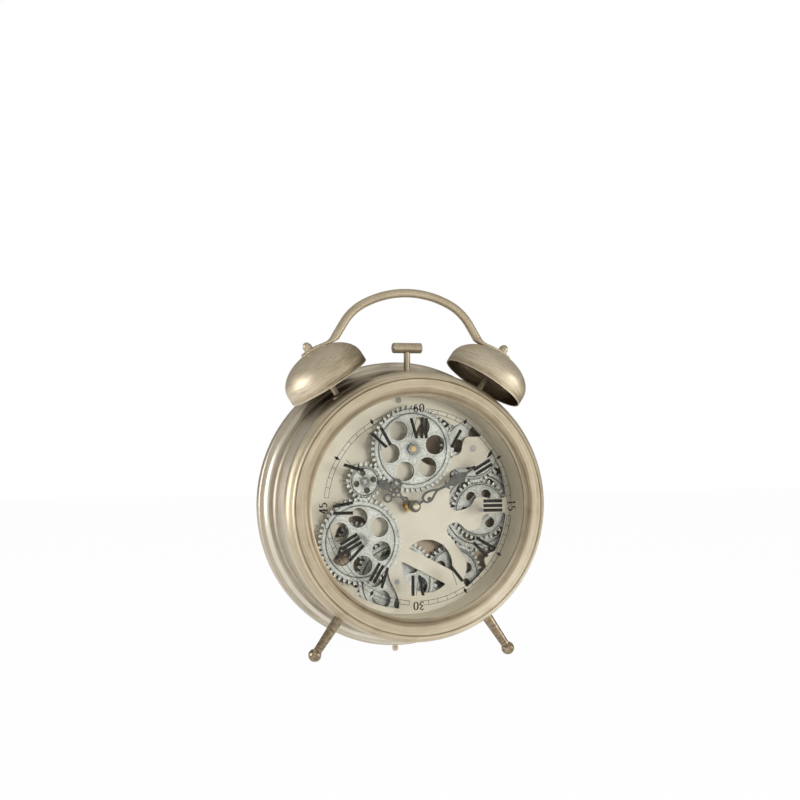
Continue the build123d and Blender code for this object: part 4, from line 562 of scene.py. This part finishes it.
# Print: the hour numerals, the minute track and four minute numbers, screened in near-black ink on the back
# of the glass. Sizes on the print are in millimetres. A stroke of a numeral is its hour, the sideways places
# of its foot and its top, and its width.
PRINT_Y = -0.03996
FOOT_RADIUS = 68.3
TOP_RADIUS = 88.6
BAR = 3.3
HAIR = 0.55
NUMERAL_STROKES = np.array([
    (0, -2.2, -8.2, BAR), (0, -7.9, -2.4, HAIR), (0, 3.0, 3.0, BAR), (0, 7.65, 7.65, BAR),
    (1, 0.0, 0.0, BAR),
    (2, -2.4, -2.4, BAR), (2, 2.3, 2.3, BAR),
    (3, -4.9, -4.9, BAR), (3, -0.25, -0.25, BAR), (3, 4.4, 4.4, BAR),
    (4, -2.7, -2.7, BAR), (4, 3.1, 7.7, BAR), (4, 2.9, -0.2, HAIR),
    (5, 0.9, -2.4, BAR), (5, 1.2, 4.9, HAIR),
    (6, -0.5, -4.4, BAR), (6, 0.0, 2.9, HAIR), (6, 6.2, 6.2, BAR),
    (7, -2.0, -6.3, BAR), (7, -1.6, 1.1, HAIR), (7, 3.3, 3.3, BAR), (7, 7.75, 7.75, BAR),
    (8, -3.6, -9.4, BAR), (8, -3.2, -1.9, HAIR), (8, 0.2, 0.2, BAR), (8, 4.85, 4.85, BAR), (8, 9.5, 9.5, BAR),
    (9, -5.2, -5.2, BAR), (9, 5.1, 1.4, BAR), (9, 1.2, 5.4, HAIR),
    (10, 3.0, -2.0, BAR), (10, -2.5, 3.2, HAIR),
    (11, 0.7, -6.1, BAR), (11, -5.6, 0.2, HAIR), (11, 5.3, 5.3, BAR)])
TRACK_INNER = 94.0
TRACK_OUTER = 98.2
LINE = 0.45
GAP_MINUTES = 1.05
SHORTEST_RAIL = 0.2
LOZENGE_MINUTES = (5, 10, 20, 25, 35, 40, 50, 55)
LOZENGE_RADIUS = 98.0
LOZENGE_HALF = 3.4
LOZENGE_WIDTH = 3.6
MINUTE_DEGREES = 6
HOUR_DEGREES = 30


def sheet_of(name, corners):
    """One mesh of many strips: corners is an array of strips, each a grid of points along and across it."""
    strips, along, across = corners.shape[:3]
    index = np.arange(strips * along * across).reshape(strips, along, across)
    faces = np.stack([index[:, :-1, :-1], index[:, 1:, :-1], index[:, 1:, 1:], index[:, :-1, 1:]], -1)
    mesh = bpy.data.meshes.new(name)
    mesh.from_pydata(corners.reshape(-1, 3).tolist(), [], faces.reshape(-1, 4).tolist())
    made = bpy.data.objects.new(name, mesh)
    scene.collection.objects.link(made)
    return made


def on_glass(x, radius, degrees_round):
    """Points on the back of the glass: a sideways shift and a radius, turned clockwise round the middle."""
    x, radius, angle = np.broadcast_arrays(x, radius, np.radians(degrees_round))
    across = x * np.cos(angle) + radius * np.sin(angle)
    up = radius * np.cos(angle) - x * np.sin(angle)
    return np.stack([across / 1000, np.full_like(across, PRINT_Y), AXIS[2] + up / 1000], -1)


both_ends = np.array([0.0, 1.0])[None, :, None]
both_sides = np.array([0.5, -0.5])[None, None, :]
hour, foot, top, width = (column[:, None, None] for column in NUMERAL_STROKES.T)
stroke_x = foot + (top - foot) * both_ends + width * both_sides
stroke_radius = FOOT_RADIUS + (TOP_RADIUS - FOOT_RADIUS) * both_ends
numerals = sheet_of("printed_numerals", on_glass(stroke_x, stroke_radius, HOUR_DEGREES * hour))

minute = np.arange(60)
from_number = (minute + 7.5) % 15 - 7.5
rail_start = minute + np.where(from_number == 0, GAP_MINUTES, 0.0)
rail_end = minute + 1 + np.where(from_number == -1, 1 - GAP_MINUTES, 0.0)
kept = rail_end - rail_start > SHORTEST_RAIL
rail_start, rail_end = (ends[kept][:, None, None] for ends in (rail_start, rail_end))
arc = MINUTE_DEGREES * (rail_start + (rail_end - rail_start) * np.linspace(0, 1, 7)[None, :, None])
rails = [on_glass(0.0, ring + LINE * both_sides, arc) for ring in (TRACK_INNER, TRACK_OUTER)]
track = sheet_of("printed_track", np.concatenate(rails))
tick = minute[np.abs(from_number) > 0.5][:, None, None]
tick_radius = TRACK_INNER + (TRACK_OUTER - TRACK_INNER) * both_ends
ticks = sheet_of("printed_ticks", on_glass(LINE * both_sides, tick_radius, MINUTE_DEGREES * tick))
five = np.array(LOZENGE_MINUTES)[:, None, None]
tip_to_tip = np.linspace(-1, 1, 3)[None, :, None]
lozenge_x = LOZENGE_WIDTH * both_sides * (1 - np.abs(tip_to_tip))
lozenge_radius = LOZENGE_RADIUS + LOZENGE_HALF * tip_to_tip
lozenges = sheet_of("printed_lozenges", on_glass(lozenge_x, lozenge_radius, MINUTE_DEGREES * five))

PEN_THICK = 1.55
PEN_THIN = 0.5
NUMBER_FOOT = 94.6
NUMBER_LEFT = -5.6
DIGIT_STEP = 6.1
DIGITS = {
    "0": [[(2.5, 8.3), (0.9, 6.9), (0.45, 4.2), (0.9, 1.5), (2.5, 0.15),
           (4.1, 1.5), (4.55, 4.2), (4.1, 6.9), (2.5, 8.3)]],
    "1": [[(2.6, 0.2), (2.6, 4.0), (2.6, 8.2)],
          [(1.2, 6.7), (1.9, 7.3), (2.6, 8.2)],
          [(1.1, 0.2), (2.6, 0.2), (4.1, 0.2)]],
    "3": [[(0.7, 7.0), (2.2, 8.3), (3.9, 6.5), (2.1, 4.6), (4.3, 2.7), (2.3, 0.15), (0.5, 1.3)]],
    "4": [[(3.5, 0.2), (3.5, 4.0), (3.5, 8.3)],
          [(3.5, 8.3), (1.9, 5.4), (0.3, 2.6)],
          [(0.3, 2.5), (2.4, 2.5), (4.8, 2.5)],
          [(2.2, 0.2), (3.5, 0.2), (4.8, 0.2)]],
    "5": [[(0.9, 8.2), (0.9, 6.3), (0.8, 4.6)],
          [(0.9, 8.0), (2.4, 8.0), (4.1, 8.1)],
          [(0.8, 4.6), (2.5, 5.2), (4.3, 2.9), (2.3, 0.15), (0.5, 1.2)]],
    "6": [[(4.1, 7.7), (2.0, 7.0), (0.6, 4.2), (0.8, 1.6), (2.5, 0.15),
           (4.2, 1.5), (4.1, 3.6), (2.5, 4.8), (0.9, 3.4)]],
}


def pen_stroke(points, samples=40):
    """Broad-pen ribbon: a smooth cubic through the points, wide where it runs upright, thin where level.

    Each stretch between two points is the cubic that passes through both and runs there along the line that
    joins the points before and after.
    """
    points = np.array(points, float)
    ends = np.vstack([2 * points[0] - points[1], points, 2 * points[-1] - points[-2]])
    place = np.linspace(0, len(points) - 1 - 1e-6, samples)
    k = place.astype(int)
    t = (place - k)[:, None]
    a, b, c, d = ends[k], ends[k + 1], ends[k + 2], ends[k + 3]
    bend = 2 * a - 5 * b + 4 * c - d
    twist = 3 * b - a - 3 * c + d
    line = 0.5 * (2 * b + (c - a) * t + bend * t ** 2 + twist * t ** 3)
    run = np.gradient(line, axis=0)
    run /= np.linalg.norm(run, axis=1)[:, None]
    half = (PEN_THIN + (PEN_THICK - PEN_THIN) * np.abs(run[:, 1:]) ** 1.5) / 2
    side = np.stack([run[:, 1], -run[:, 0]], -1)
    return np.stack([line - half * side, line + half * side], 1)


number_strips = []
for quarter, word in ((0, "60"), (90, "15"), (180, "30"), (270, "45")):
    for order, digit in enumerate(word):
        for points in DIGITS[digit]:
            ribbon = pen_stroke(points)
            shift = ribbon[..., 0] + NUMBER_LEFT + DIGIT_STEP * order
            number_strips.append(on_glass(shift, NUMBER_FOOT + ribbon[..., 1], quarter))
numbers = sheet_of("printed_numbers", np.stack(number_strips))

INK = (0.010, 0.009, 0.007, 1)
INK_WORN = (0.026, 0.023, 0.018, 1)
ink, tree = fresh("screened_ink")
speck = noise_at(tree, place_of(tree, AXIS, UNTURNED), 1500.0, 2.0, 0.6)
ink_colour = blend_of(tree, speck, ((0.30, INK), (0.75, INK_WORN)))
surface(tree, {"Base Color": ink_colour, "Specular IOR Level": 0.15,
               "Roughness": calc(tree, "MULTIPLY_ADD", speck, 0.2, 0.5)})
for piece in (numerals, track, ticks, lozenges, numbers):
    piece.data.materials.append(ink)
    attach(piece, "case")
